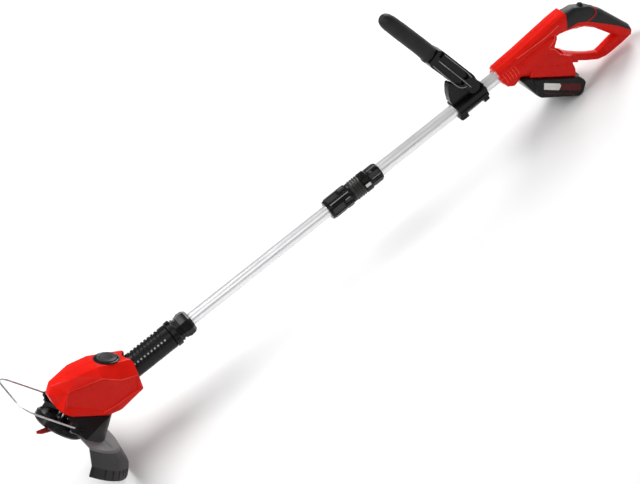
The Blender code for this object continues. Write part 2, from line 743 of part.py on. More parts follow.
def swivel_sleeve():
    profile = [
        (0, SLEEVE_END - SPIGOT_DEPTH - GAP),
        (SPIGOT_R + GAP, SLEEVE_END - SPIGOT_DEPTH - GAP),
        (SPIGOT_R + GAP, SLEEVE_END),
        (SLEEVE_R - 1.5 * MM, SLEEVE_END),
        (SLEEVE_R, SLEEVE_END - 1.5 * MM),
        (SLEEVE_R, HINGE_X),
    ]
    quarter = 5
    for i in range(1, quarter):
        angle = math.pi / 2 * i / quarter
        profile.append((BALL_R * math.cos(angle), HINGE_X - BALL_R * math.sin(angle)))
    profile.append((0, HINGE_X - BALL_R))
    sleeve = turned("swivel_sleeve", profile, TUBE, BLACK_PLASTIC)
    grooves = bmesh.new()
    turns = [-72, -45, -15, 15, 45, 72]
    for rib in range(SLEEVE_RIBS):
        start = SLEEVE_END - 10 * MM - (rib + 1) * RIB_PITCH
        rows = []
        for turn in turns:
            angle = math.pi + math.radians(turn)
            corners = [
                (SLEEVE_R - GROOVE_DEPTH, start),
                (SLEEVE_R + 3 * MM, start),
                (SLEEVE_R + 3 * MM, start + GROOVE_WIDTH),
                (SLEEVE_R - GROOVE_DEPTH, start + GROOVE_WIDTH),
            ]
            rows.append(
                [grooves.verts.new((rad * math.cos(angle), rad * math.sin(angle), z)) for rad, z in corners]
            )
        for one, other in zip(rows, rows[1:]):
            for i in range(4):
                j = (i + 1) % 4
                grooves.faces.new((one[i], one[j], other[j], other[i]))
        grooves.faces.new(rows[0])
        grooves.faces.new(list(reversed(rows[-1])))
    cut(sleeve, "sleeve_grooves", finish_mesh("sleeve_grooves", grooves, smooth=False), TUBE)
    bore = rod_mesh("pin_way", (0, -30 * MM, HINGE_X), (0, 30 * MM, HINGE_X), PIN_R + GAP, sides=12)
    cut(sleeve, "tilt_pin_way", bore, TUBE)
    half = PIN_HALF_LENGTH
    pin = part("tilt_pin", rod_mesh("tilt_pin", (0, -half, 0), (0, half, 0), PIN_R, sides=12), HEAD, BRIGHT_STEEL)
    pin.location = (HINGE_R, 0, HINGE_H)


def release_ring():
    end = RING_START + RING_LENGTH
    profile = [
        (RING_R - 1 * MM, end),
        (RING_R, end - 1 * MM),
        (RING_R, RING_START + 1 * MM),
        (RING_R - 1 * MM, RING_START),
        (SPIGOT_R + GAP, RING_START),
        (SPIGOT_R + GAP, end - 6 * MM),
        (RING_R - 3 * MM, end - 6 * MM),
        (RING_R - 3 * MM, end),
    ]
    ring = turned("release_ring", profile, TUBE, BLACK_PLASTIC)
    middle = (RING_START + end) / 2
    nubs = []
    for i in range(4):
        angle = i * math.pi / 2
        way = Vector((math.cos(angle), math.sin(angle), 0))
        start = way * (RING_R - 2.5 * MM) + Vector((0, 0, middle))
        nubs.append((start, way * NUB_REACH + Vector((0, 0, middle)), NUB_R))
    fuse(ring, "ring_nubs", joined_rods("ring_nubs", nubs, 8), TUBE)


def tube_collar():
    bore = LOWER_TUBE_R + GAP
    tube_seat = COLLAR_END - TUBE_IN_COLLAR
    profile = [
        (19 * MM, COLLAR_END),
        (23 * MM, COLLAR_END - 5 * MM),
        (24 * MM, COLLAR_END - 15 * MM),
        (22 * MM, COLLAR_END - 20 * MM),
        (22 * MM, COLLAR_END - 23 * MM),
        (20 * MM, COLLAR_END - 24 * MM),
        (20 * MM, COLLAR_START + 3 * MM),
        (22.5 * MM, COLLAR_START + 2 * MM),
        (22.5 * MM, COLLAR_START),
        (COLLAR_LIP_R, COLLAR_START),
        (COLLAR_LIP_R, COLLAR_START - 6 * MM),
        (SPIGOT_R - 0.5 * MM, COLLAR_START - 6 * MM),
        (bore, tube_seat),
        (bore, COLLAR_END),
    ]
    collar = turned("tube_collar", profile, TUBE, BLACK_PLASTIC, 8)
    start = SLEEVE_END - SPIGOT_DEPTH
    spigot = rod_mesh("spigot", (0, 0, start), (0, 0, COLLAR_START + 4 * MM), SPIGOT_R, sides=ROUND_SIDES)
    fuse(collar, "spigot", spigot, TUBE)
    wire_way = rod_mesh("wire_way", (0, 0, start - 5 * MM), (0, 0, COLLAR_END), 6 * MM, sides=12)
    cut(collar, "wire_way", wire_way, TUBE)
    seat = rod_mesh("tube_seat", (0, 0, tube_seat - GAP), (0, 0, COLLAR_END + 5 * MM), bore, sides=ROUND_SIDES)
    cut(collar, "tube_seat", seat, TUBE)


def hollow_tube(name, radius, wall, start, end):
    profile = [(radius, end), (radius, start), (radius - wall, start), (radius - wall, end)]
    return turned(name, profile, TUBE, POLISHED_ALUMINIUM, TUBE_SIDES)


def telescope():
    hollow_tube(
        "lower_tube",
        LOWER_TUBE_R,
        LOWER_TUBE_WALL,
        COLLAR_END - TUBE_IN_COLLAR,
        LOCK_START + TUBE_OVERLAP,
    )
    hollow_tube(
        "upper_tube",
        UPPER_TUBE_R,
        UPPER_TUBE_WALL,
        THREAD_START + 3 * MM,
        HOUSING_START + TUBE_IN_HOUSING,
    )
    bore = LOWER_TUBE_R + TUBE_CLEARANCE
    neck_start = LOCK_START + 20 * MM
    nut_end = THREAD_START - GAP
    nut = [
        (LOCK_NUT_R - 1.6 * MM, nut_end),
        (LOCK_NUT_R - 0.6 * MM, nut_end - 1.5 * MM),
        (LOCK_NUT_R - 0.6 * MM, nut_end - 11 * MM),
        (LOCK_NUT_R, nut_end - 12 * MM),
        (LOCK_NUT_R, LOCK_START + 1.6 * MM),
        (LOCK_NUT_R - 1.2 * MM, LOCK_START),
        (bore, LOCK_START),
        (bore, LOCK_START + 4 * MM),
        (NECK_R + GAP, LOCK_START + 6 * MM),
        (NECK_R + GAP, nut_end),
    ]
    body = turned("lock_nut", nut, TUBE, BLACK_PLASTIC)
    scallops = []
    for i in range(10):
        angle = 2 * math.pi * (i + 0.5) / 10
        middle = Vector((math.cos(angle), math.sin(angle), 0)) * (LOCK_NUT_R + 3.4 * MM)
        low = middle + Vector((0, 0, LOCK_START + 9 * MM))
        high = middle + Vector((0, 0, nut_end - 4 * MM))
        scallops.append((low, high, 4.6 * MM))
    cut(body, "lock_nut_scallops", joined_rods("scallops", scallops, 8), TUBE)
    thread_end = THREAD_START + THREAD_LENGTH
    ring_pitch = 5 * MM
    thread = [(THREAD_R - 1.5 * MM, thread_end)]
    rings = int((THREAD_LENGTH - 2 * MM) / ring_pitch)
    for i in range(rings):
        top = thread_end - 1 * MM - i * ring_pitch
        thread += [
            (THREAD_R - 1.5 * MM, top),
            (THREAD_R, top - 1.9 * MM),
            (THREAD_R - 1.5 * MM, top - 3.8 * MM),
        ]
    seat = UPPER_TUBE_R + GAP
    thread += [
        (THREAD_R - 1.5 * MM, THREAD_START),
        (NECK_R, THREAD_START),
        (NECK_R, neck_start),
        (bore, neck_start),
        (bore, THREAD_START + 3 * MM - GAP),
        (seat, THREAD_START + 3 * MM - GAP),
        (seat, thread_end),
    ]
    turned("thread_sleeve", thread, TUBE, BLACK_PLASTIC)
    collet = [
        (NECK_R - 1.2 * MM, neck_start - GAP),
        (NECK_R - 0.2 * MM, neck_start - 3 * MM),
        (NECK_R - 1.2 * MM, LOCK_START + 6.5 * MM),
        (bore, LOCK_START + 6.5 * MM),
        (bore, neck_start - GAP),
    ]
    ring = turned("collet", collet, TUBE, GREY_PLASTIC)
    slot = box_mesh("slot", (0, -0.8 * MM, LOCK_START), (30 * MM, 0.8 * MM, LOCK_START + 40 * MM))
    cut(ring, "collet_slot", slot, TUBE)
    start = UPPER_COLLAR_START + GAP
    end = UPPER_COLLAR_END
    collar = [
        (UPPER_COLLAR_R - 2.6 * MM, end),
        (UPPER_COLLAR_R - 1.2 * MM, end - 2 * MM),
        (UPPER_COLLAR_R, start + 16 * MM),
        (UPPER_COLLAR_R + 2 * MM, start + 14 * MM),
        (UPPER_COLLAR_R + 2 * MM, start + 1 * MM),
        (UPPER_COLLAR_R, start),
        (seat, start),
        (seat, end),
    ]
    body = turned("upper_collar", collar, TUBE, BLACK_PLASTIC)
    flutes = []
    for i in range(8):
        angle = 2 * math.pi * (i + 0.5) / 8
        middle = Vector((math.cos(angle), math.sin(angle), 0)) * (UPPER_COLLAR_R + 5.6 * MM)
        low = middle + Vector((0, 0, start + 18 * MM))
        flutes.append((low, middle + Vector((0, 0, end - 4 * MM)), 7.4 * MM))
    cut(body, "upper_collar_flutes", joined_rods("flutes", flutes, 8), TUBE)


# Auxiliary handle: the clamp on the upper tube in the tool frame, the arm in its own frame (across, y, along)
CLAMP_START = 900 * MM
CLAMP_LENGTH = 66 * MM
CLAMP_HALF_WIDTH = 20 * MM
SADDLE_TOP = 11.5 * MM
TONGUE_HALF_WIDTH = 8.7 * MM
ARM_HALF_WIDTH = 17 * MM
FORK_END = 66 * MM
ARM_PIVOT = (CLAMP_START + 48 * MM, 0, 24 * MM)
ARM_LEAN = math.radians(18.7)
ARM_EYE_R = 12 * MM
GRIP_START = 110 * MM
GRIP_END = 243 * MM
TANG_R = 8 * MM
PIVOT_BOLT_R = 3 * MM
BOLT_HEAD_R = 5 * MM
BOLT_START = -15 * MM
BOLT_HEAD_END = -12 * MM
KNOB_R = 15 * MM
KNOB_THICK = 13 * MM
CLAMP_SEAT = -11 * MM
CLAMP_TIP = 8 * MM
ARM = new_frame("arm_frame", TOOL, ARM_PIVOT, -ARM_LEAN)


def aux_clamp():
    start = CLAMP_START
    end = CLAMP_START + CLAMP_LENGTH
    split = GAP / 2
    base = [(start, split), (end, split), (end + 1 * MM, SADDLE_TOP), (start - 1 * MM, SADDLE_TOP)]
    mesh = prism_mesh("base", base, -CLAMP_HALF_WIDTH, CLAMP_HALF_WIDTH)
    saddle = part("aux_clamp_upper", mesh, TOOL, BLACK_PLASTIC)
    bevel(saddle, 1.5 * MM, 1)
    tongue = [
        (start + 1 * MM, split + 1 * MM),
        (end - 1 * MM, split + 1 * MM),
        (end + 2 * MM, 12 * MM),
        (end - 6 * MM, 30 * MM),
        (end - 14 * MM, 34 * MM),
        (start + 30 * MM, 34 * MM),
        (start + 22 * MM, 33 * MM),
        (start + 16 * MM, 35 * MM),
        (start - 2 * MM, 15 * MM),
    ]
    half = TONGUE_HALF_WIDTH
    fuse(saddle, "clamp_tongue", prism_mesh("tongue", tongue, -half, half), TOOL)
    lower = [
        (start + 1 * MM, -split),
        (start - 4 * MM, -12 * MM),
        (start - 1 * MM, -17 * MM),
        (start + 8 * MM, -17.5 * MM),
        (end - 20 * MM, -16 * MM),
        (end, -14.8 * MM),
        (end, -split),
    ]
    mesh = prism_mesh("lower", lower, -CLAMP_HALF_WIDTH, CLAMP_HALF_WIDTH)
    cap = part("aux_clamp_lower", mesh, TOOL, BLACK_PLASTIC)
    bevel(cap, 1.5 * MM, 1)
    far = 40 * MM
    bore = rod_mesh("bore", (0, 0, start - far), (0, 0, end + far), UPPER_TUBE_R + GAP, sides=ROUND_SIDES)
    tool = add_object("cut_clamp_bore", bore, TUBE, None, cutter=True)
    boolean(saddle, tool)
    boolean(cap, tool)
    bolt_way = rod_mesh(
        "bolt_way",
        (ARM_PIVOT[0], -far, ARM_PIVOT[2]),
        (ARM_PIVOT[0], far, ARM_PIVOT[2]),
        PIVOT_BOLT_R + GAP,
        sides=12,
    )
    cut(saddle, "pivot_bolt_way", bolt_way, TOOL)
    places = [(x, y) for x in (start + 8 * MM, end - 9 * MM) for y in (-16.4 * MM, 16.4 * MM)]
    for number, (x, y) in enumerate(places, 1):
        screw(f"clamp_screw_{number}", (x, y, CLAMP_SEAT), (0, 0, -1), CLAMP_TIP - CLAMP_SEAT, TOOL)
    bores = [((x, y, -far), (x, y, CLAMP_SEAT + GAP), SCREW_HEAD_R + GAP) for x, y in places]
    pilots = [((x, y, CLAMP_SEAT - GAP), (x, y, CLAMP_TIP + GAP), SCREW_SHANK_R + GAP) for x, y in places]
    cut(cap, "clamp_screw_bores", joined_rods("bores", bores), TOOL)
    pilot = cut(cap, "clamp_screw_pilots", joined_rods("pilots", pilots, 8), TOOL)
    boolean(saddle, pilot)


def aux_arm():
    half = ARM_HALF_WIDTH
    outline = [
        (ARM_EYE_R, 0),
        (17 * MM, 16 * MM),
        (18 * MM, GRIP_START - 10 * MM),
        (15 * MM, GRIP_START - GAP),
        (-15 * MM, GRIP_START - GAP),
        (-18 * MM, GRIP_START - 10 * MM),
        (-17 * MM, 44 * MM),
        (-ARM_EYE_R, 0),
    ]
    rings = [[(a, y, w) for a, w in outline] for y in (-half, half)]
    arm = part("aux_arm", loft_mesh("aux_arm", rings), ARM, BLACK_PLASTIC)
    bevel(arm, 1.5 * MM, 1)
    inner = half - 1 * MM
    fuse(arm, "arm_eye", rod_mesh("eye", (0, -inner, 0), (0, inner, 0), ARM_EYE_R, sides=20), ARM)
    tang = rod_mesh("tang", (0, 0, GRIP_START - 8 * MM), (0, 0, GRIP_END - 22 * MM), TANG_R, sides=16)
    fuse(arm, "arm_tang", tang, ARM)
    far = 30 * MM
    fork = TONGUE_HALF_WIDTH + GAP
    cut(arm, "arm_fork", box_mesh("fork", (-far, -fork, -far), (far, fork, FORK_END)), ARM)
    pocket_floor = half - 5 * MM
    left_pocket = [(-14 * MM, 34 * MM), (-8 * MM, 22 * MM), (-2 * MM, 26 * MM), (-2 * MM, 96 * MM), (-14 * MM, 96 * MM)]
    right_pocket = [(1 * MM, 26 * MM), (8 * MM, 22 * MM), (13 * MM, 32 * MM), (13 * MM, 92 * MM), (1 * MM, 96 * MM)]
    for number, pocket in enumerate((left_pocket, right_pocket)):
        for side in (-1, 1):
            low, high = sorted((side * pocket_floor, side * far))
            rings = [[(a, y, w) for a, w in pocket] for y in (low, high)]
            cut(arm, f"arm_pocket_{number}_{side + 1}", loft_mesh("pocket", rings), ARM)
    notch = box_mesh("notch", (5 * MM, -far, 97.5 * MM), (far, far, 103 * MM))
    cut(arm, "arm_notch", notch, ARM)
    bore = rod_mesh("bore", (0, BOLT_HEAD_END, 0), (0, far, 0), PIVOT_BOLT_R + GAP, sides=12)
    cut(arm, "arm_bolt_bore", bore, ARM)
    nest = rod_mesh("nest", (0, BOLT_START - GAP, 0), (0, BOLT_HEAD_END + GAP, 0), BOLT_HEAD_R + 2 * GAP, sides=6)
    cut(arm, "arm_bolt_nest", nest, ARM)


def aux_grip():
    sections = [
        (GRIP_START, 18.5, 14.5),
        (GRIP_START + 12 * MM, 18, 15),
        (GRIP_START + 26 * MM, 16, 14.6),
        (GRIP_START + 70 * MM, 16.2, 15),
        (GRIP_END - 22 * MM, 15.8, 14.8),
        (GRIP_END - 9 * MM, 14.4, 13.4),
        (GRIP_END - 3 * MM, 11, 10),
        (GRIP_END, 6, 5.5),
    ]
    rings = []
    for along, wide, deep in sections:
        ring = superellipse(wide * MM, deep * MM, 2.2, 16)
        rings.append([(a, y, along) for a, y in ring])
    grip = part("aux_grip", loft_mesh("aux_grip", rings), ARM, SOFT_GRIP)
    bore = rod_mesh("bore", (0, 0, 0), (0, 0, GRIP_END - 22 * MM + GAP), TANG_R + 2 * GAP, sides=16)
    cut(grip, "grip_bore", bore, ARM)


def aux_knob():
    start = CLAMP_HALF_WIDTH + GAP
    neck = ARM_HALF_WIDTH - CLAMP_HALF_WIDTH
    profile = [
        (KNOB_R - 4 * MM, KNOB_THICK),
        (KNOB_R - 0.6 * MM, KNOB_THICK - 2 * MM),
        (KNOB_R, 4 * MM),
        (KNOB_R - 3 * MM, 0),
        (8 * MM, 0),
        (8 * MM, neck),
        (PIVOT_BOLT_R + GAP, neck),
        (PIVOT_BOLT_R + GAP, KNOB_THICK),
    ]
    side = new_frame("knob_frame", ARM, (0, start, 0))
    side.rotation_euler = (-math.pi / 2, 0, 0)
    knob = turned("aux_knob", profile, side, BLACK_PLASTIC)
    flutes = []
    count = 8
    for i in range(count):
        angle = 2 * math.pi * i / count
        middle = Vector((math.cos(angle), math.sin(angle), 0)) * (KNOB_R + 1 * MM)
        flutes.append((middle - Vector((0, 0, 5 * MM)), middle + Vector((0, 0, 30 * MM)), 2.2 * MM))
    cut(knob, "knob_flutes", joined_rods("flutes", flutes, 8), side)
    end = start + KNOB_THICK - 2 * MM
    shank = rod_mesh("bolt", (0, BOLT_START, 0), (0, end, 0), PIVOT_BOLT_R, sides=12)
    bolt = part("aux_pivot_bolt", shank, ARM, BRIGHT_STEEL)
    head = rod_mesh("head", (0, BOLT_START, 0), (0, BOLT_HEAD_END, 0), BOLT_HEAD_R, sides=6)
    fuse(bolt, "aux_bolt_head", head, ARM)


# Rear handle, side view in the handle frame. Tables are in millimetres: (a, c, half thickness, half width)
SPINE = [
    # along the tube, offset across it, half thickness, half width
    (8, 1.4, 18.5, 18.5),
    (13, 1.7, 19.6, 20),
    (60, 3, 20.5, 21),
    (110, 8, 19.5, 21),
    (150, 14, 17, 19.5),
    (172, 18, 13, 18),
]
WEB = [
    (20, -8),
    (33, -7),
    (40, 4),
    (42, 10.5),
    (157, 10.5),
    (159, 22),
    (168, 31),
    (160, 44),
    (119, 50),
    (108, 87),
    (92, 83),
    (30, 30),
    (0, 5),
]
WEB_HALF_WIDTH = 25 * MM
GRIP_BAR = [
    (106, 97, 16, 19),
    (124, 106, 18, 19),
    (145, 114.8, 21.6, 17.5),
    (170, 117, 20.5, 17),
    (195, 112, 18.5, 16.5),
    (222, 101, 16.8, 16),
    (245, 91.5, 15.5, 15),
    (262, 85.5, 14, 14),
    (271, 83, 8, 12),
]
REAR_POST = [
    (267, 87.5, 12.2, 13),
    (251, 72.5, 12.4, 13),
    (235, 57.5, 12.2, 11.5),
    (223, 46.5, 10.6, 11),
    (211, 39.4, 8, 10.5),
    (190, 38, 7.5, 10),
    (168, 38.5, 7.5, 11),
    (148, 39.5, 8.5, 13),
    (130, 40, 12, 18),
]
PAD_OUTLINE = [
    (116, 140),
    (128, 96.5),
    (134, 100),
    (149, 109),
    (170, 110),
    (213, 104),
    (240, 99),
    (264, 91),
    (290, 88),
    (290, 150),
]
PAD_DEPTH = 2.6
TRIGGER_PIVOT = (126 * MM, 0, 101.5 * MM)
TRIGGER_HALF_WIDTH = 5.7 * MM
TRIGGER = [(121, 104), (121, 97), (126, 92.5), (140, 91.5), (156, 93), (168, 96.5), (168.5, 99), (150, 100.8), (131, 104.5)]
TRIGGER_SLOT = [(119, 106.5), (119, 88), (128, 86), (172, 84), (172, 106.5)]
TRIGGER_PIN_R = 2 * MM
TRIGGER_TURN = math.radians(6)
LOCK_OFF_PLACE = (157 * MM, 0, 130 * MM)
LOCK_OFF_R = 6 * MM
LOCK_OFF_TRAVEL = 3 * MM
LOCK_OFF_FLOOR = 124 * MM
LOCK_OFF_TOP = 141.5 * MM
HANDLE_SCREWS = [(28, -1), (84, 34), (100, 66), (192, 108), (250, 76), (214, 41)]
HANDLE_SCREW_SEAT = 7 * MM
HANDLE_SCREW_TIP = -7 * MM


def path_loft(name, stations, power=2.8, count=14):
    """Skins rounded sections along a bent line of (a, c, half thickness, half width), in millimetres."""
    rings = []
    for i, (a, c, thick, wide) in enumerate(stations):
        before = stations[max(i - 1, 0)]
        after = stations[min(i + 1, len(stations) - 1)]
        way = Vector((after[0] - before[0], 0, after[1] - before[1])).normalized()
        up = Vector((-way.z, 0, way.x))
        ring = superellipse(wide, thick, power, count)
        rings.append([(Vector((a, y, c)) + up * n) * MM for y, n in ring])
    return loft_mesh(name, rings)


def spine_stations():
    cos, sin = math.cos(HANDLE_ANGLE), math.sin(HANDLE_ANGLE)
    return [(s * cos - n * sin, s * sin + n * cos, thick, wide) for s, n, thick, wide in SPINE]


def thinned(stations, depth):
    """The same line with its sections smaller all round and its far end drawn in."""
    result = [(a, c, thick - depth, wide - depth) for a, c, thick, wide in stations]
    before, last = Vector(stations[-2][:2]), Vector(stations[-1][:2])
    end = last + (before - last).normalized() * depth
    result[-1] = (end.x, end.y, *result[-1][2:])
    return result


def side_prism(name, outline, half_width):
    return prism_mesh(name, [(a * MM, c * MM) for a, c in outline], -half_width, half_width)


def grown(outline, distance):
    """The outline with every side moved outward, corners kept sharp. It runs either way round."""
    count = len(outline)
    area = 0
    for (a, c), (next_a, next_c) in zip(outline, outline[1:] + outline[:1]):
        area += a * next_c - next_a * c
    turn = 1 if area > 0 else -1
    result = []
    for i in range(count):
        before, here, after = Vector(outline[i - 1]), Vector(outline[i]), Vector(outline[(i + 1) % count])
        one, two = (here - before).normalized(), (after - here).normalized()
        out_one, out_two = Vector((one.y, -one.x)) * turn, Vector((two.y, -two.x)) * turn
        middle = (out_one + out_two).normalized()
        result.append(tuple(here + middle * distance / max(middle.dot(out_one), 0.3)))
    return result


WEB_BOTTOM = 10.5 * MM
BATTERY_FRONT = [(44, 10.2), (80, 10.2), (80, -25), (76, -22), (44, 2)]
BATTERY_FRONT_HALF_WIDTH = 33.5 * MM
BATTERY_BODY = [(60, 10.2), (164, 10.2), (176, 2), (174, -18), (166, -26.5), (86, -27), (76, -22.5), (68, -4)]
BATTERY_HALF_WIDTH = 37.5 * MM
RAIL_START = 70 * MM
RAIL_END = 150 * MM
RAIL_HALF_WIDTH = 20 * MM
RAIL_TOP = 19 * MM
LIP_HALF_WIDTH = 24 * MM
LIP_LOW = 14 * MM
RAIL_CLEARANCE = 0.4 * MM
TERMINAL_ROOM = 8 * MM
TERMINAL_PLACES = (-12 * MM, 0, 12 * MM)
TERMINAL_LENGTH = 10 * MM
TERMINAL_THICK = 0.8 * MM
LATCH_HALF_WIDTH = 12 * MM
LATCH_TRAVEL = 2.5 * MM
LATCH_SLOPE = (BATTERY_BODY[1], BATTERY_BODY[2])
SWITCH_LOW = (130 * MM, -6 * MM, 107 * MM)
SWITCH_HIGH = (152 * MM, 6 * MM, 121 * MM)


def rear_housing():
    """Two moulded shells of one form: barrel round the tube, web above the battery and the loop handle."""
    spine = path_loft("spine", spine_stations())
    form = add_object("form_handle", spine, HANDLE, None, cutter=True)
    web = add_object("join_web", side_prism("web", WEB, WEB_HALF_WIDTH), HANDLE, None, cutter=True)
    bevel(web, 5 * MM, 2, 40)
    boolean(form, web, "UNION")
    corners = []
    for start, end, wide, c in ((58, 158, 31, 10.5), (64, 152, 25, 33)):
        corners += [(a * MM, side * wide * MM, c * MM) for a in (start, end) for side in (-1, 1)]
    dock = add_object("join_dock", hull_mesh("dock", corners), HANDLE, None, cutter=True)
    bevel(dock, 2 * MM, 1, 20)
    boolean(form, dock, "UNION")
    bar = path_loft("grip_bar", GRIP_BAR)
    fuse(form, "grip_bar", bar, HANDLE)
    post = path_loft("rear_post", REAR_POST)
    fuse(form, "rear_post", post, HANDLE)
    region = side_prism("pad_region", grown(PAD_OUTLINE, 0.3), 60 * MM)
    cut(form, "pad_region", region, HANDLE)
    core = path_loft("grip_core", thinned(GRIP_BAR, PAD_DEPTH))
    fuse(form, "grip_core", core, HANDLE)
    pad = part("rear_grip_pad", path_loft("rear_grip_pad", GRIP_BAR), HANDLE, SOFT_GRIP)
    inside = add_object("keep_pad_region", side_prism("pad_inside", PAD_OUTLINE, 60 * MM), HANDLE, None, cutter=True)
    boolean(pad, inside, "INTERSECT")
    cut(pad, "pad_core", path_loft("pad_core", thinned(GRIP_BAR, PAD_DEPTH - 0.5)), HANDLE)
    shells = []
    far = 400 * MM
    for side, name in ((-1, "rear_housing_left"), (1, "rear_housing_right")):
        low = (-far, -far, -far) if side < 0 else (-far, SHELL_SPLIT, -far)
        high = (far, -SHELL_SPLIT, far) if side < 0 else (far, far, far)
        shell = part(name, box_mesh(name, low, high), HANDLE, RED_PLASTIC)
        boolean(shell, form, "INTERSECT")
        shells.append(shell)
    return shells, pad


def rear_cavities(shells, pad):
    bore = rod_mesh("tube_bore", (0, 0, -60 * MM), (0, 0, TUBE_IN_HOUSING + GAP), UPPER_TUBE_R + GAP, sides=ROUND_SIDES)
    place = add_object("cut_tube_bore", bore, TUBE, None, cutter=True)
    place.location = (0, 0, HOUSING_START)
    for shell in shells:
        boolean(shell, place)
    slot = side_prism("trigger_slot", TRIGGER_SLOT, TRIGGER_HALF_WIDTH + GAP)
    lock_way = rod_mesh(
        "lock_way",
        (LOCK_OFF_PLACE[0], 0, LOCK_OFF_FLOOR),
        (LOCK_OFF_PLACE[0], 0, 170 * MM),
        LOCK_OFF_R + GAP,
        sides=20,
    )
    cuts = [("trigger_slot", slot, True), ("lock_off_way", lock_way, True)]
    low = [value - GAP for value in SWITCH_LOW]
    low[2] = SWITCH_LOW[2] - 2 * MM
    high = [value + GAP for value in SWITCH_HIGH]
    cuts.append(("switch_bay", box_mesh("switch_bay", low, high), False))
    start = RAIL_START - TERMINAL_ROOM
    clear = RAIL_CLEARANCE
    rails = box_mesh(
        "rails", (start, -RAIL_HALF_WIDTH - clear, 0), (200 * MM, RAIL_HALF_WIDTH + clear, RAIL_TOP + clear)
    )
    cuts.append(("battery_rails", rails, False))
    lips = box_mesh(
        "lips", (start, -LIP_HALF_WIDTH - clear, LIP_LOW - clear), (200 * MM, LIP_HALF_WIDTH + clear, RAIL_TOP + clear)
    )
    cuts.append(("battery_lips", lips, False))
    for name, mesh, through_pad in cuts:
        tool = add_object(f"cut_rear_{name}", mesh, HANDLE, None, cutter=True)
        for shell in shells:
            boolean(shell, tool)
        if through_pad:
            boolean(pad, tool)
    places = [(a * MM, c * MM) for a, c in HANDLE_SCREWS]
    screw_holes(shells + [pad], "rear_screws", places, HANDLE_SCREW_SEAT, HANDLE_SCREW_TIP, HANDLE, 60 * MM)
    screws("rear_screw", places, HANDLE_SCREW_SEAT, HANDLE_SCREW_TIP, HANDLE)


def trigger_and_switch(shells, pad):
    half = TRIGGER_HALF_WIDTH
    a, _, c = TRIGGER_PIVOT
    trigger = part("trigger", side_prism("trigger", TRIGGER, half), HANDLE, BLACK_PLASTIC)
    bevel(trigger, 1 * MM, 2, 25)
    reach = half + 4 * MM
    pin = part(
        "trigger_pin",
        rod_mesh("trigger_pin", (a, -reach, c), (a, reach, c), TRIGGER_PIN_R, sides=12),
        HANDLE,
        BRIGHT_STEEL,
    )
    move_origin(pin, TRIGGER_PIVOT)
    far = reach + GAP
    bore = rod_mesh("bore", (a, -far, c), (a, far, c), TRIGGER_PIN_R + GAP, sides=12)
    tool = cut(trigger, "trigger_pin_bore", bore, HANDLE)
    for body in shells:
        boolean(body, tool)
    move_origin(trigger, TRIGGER_PIVOT)
    part("switch_body", box_mesh("switch_body", SWITCH_LOW, SWITCH_HIGH), HANDLE, GREY_PLASTIC)
    a, _, c = LOCK_OFF_PLACE
    top = LOCK_OFF_TOP
    profile = [
        (0, top),
        (LOCK_OFF_R - 2.5 * MM, top - 0.4 * MM),
        (LOCK_OFF_R - 0.6 * MM, top - 2 * MM),
        (LOCK_OFF_R, top - 4 * MM),
        (LOCK_OFF_R, LOCK_OFF_FLOOR + LOCK_OFF_TRAVEL + GAP),
        (0, LOCK_OFF_FLOOR + LOCK_OFF_TRAVEL + GAP),
    ]
    button = turned("lock_off_button", profile, HANDLE, BLACK_PLASTIC, 20)
    button.location = (a, 0, 0)


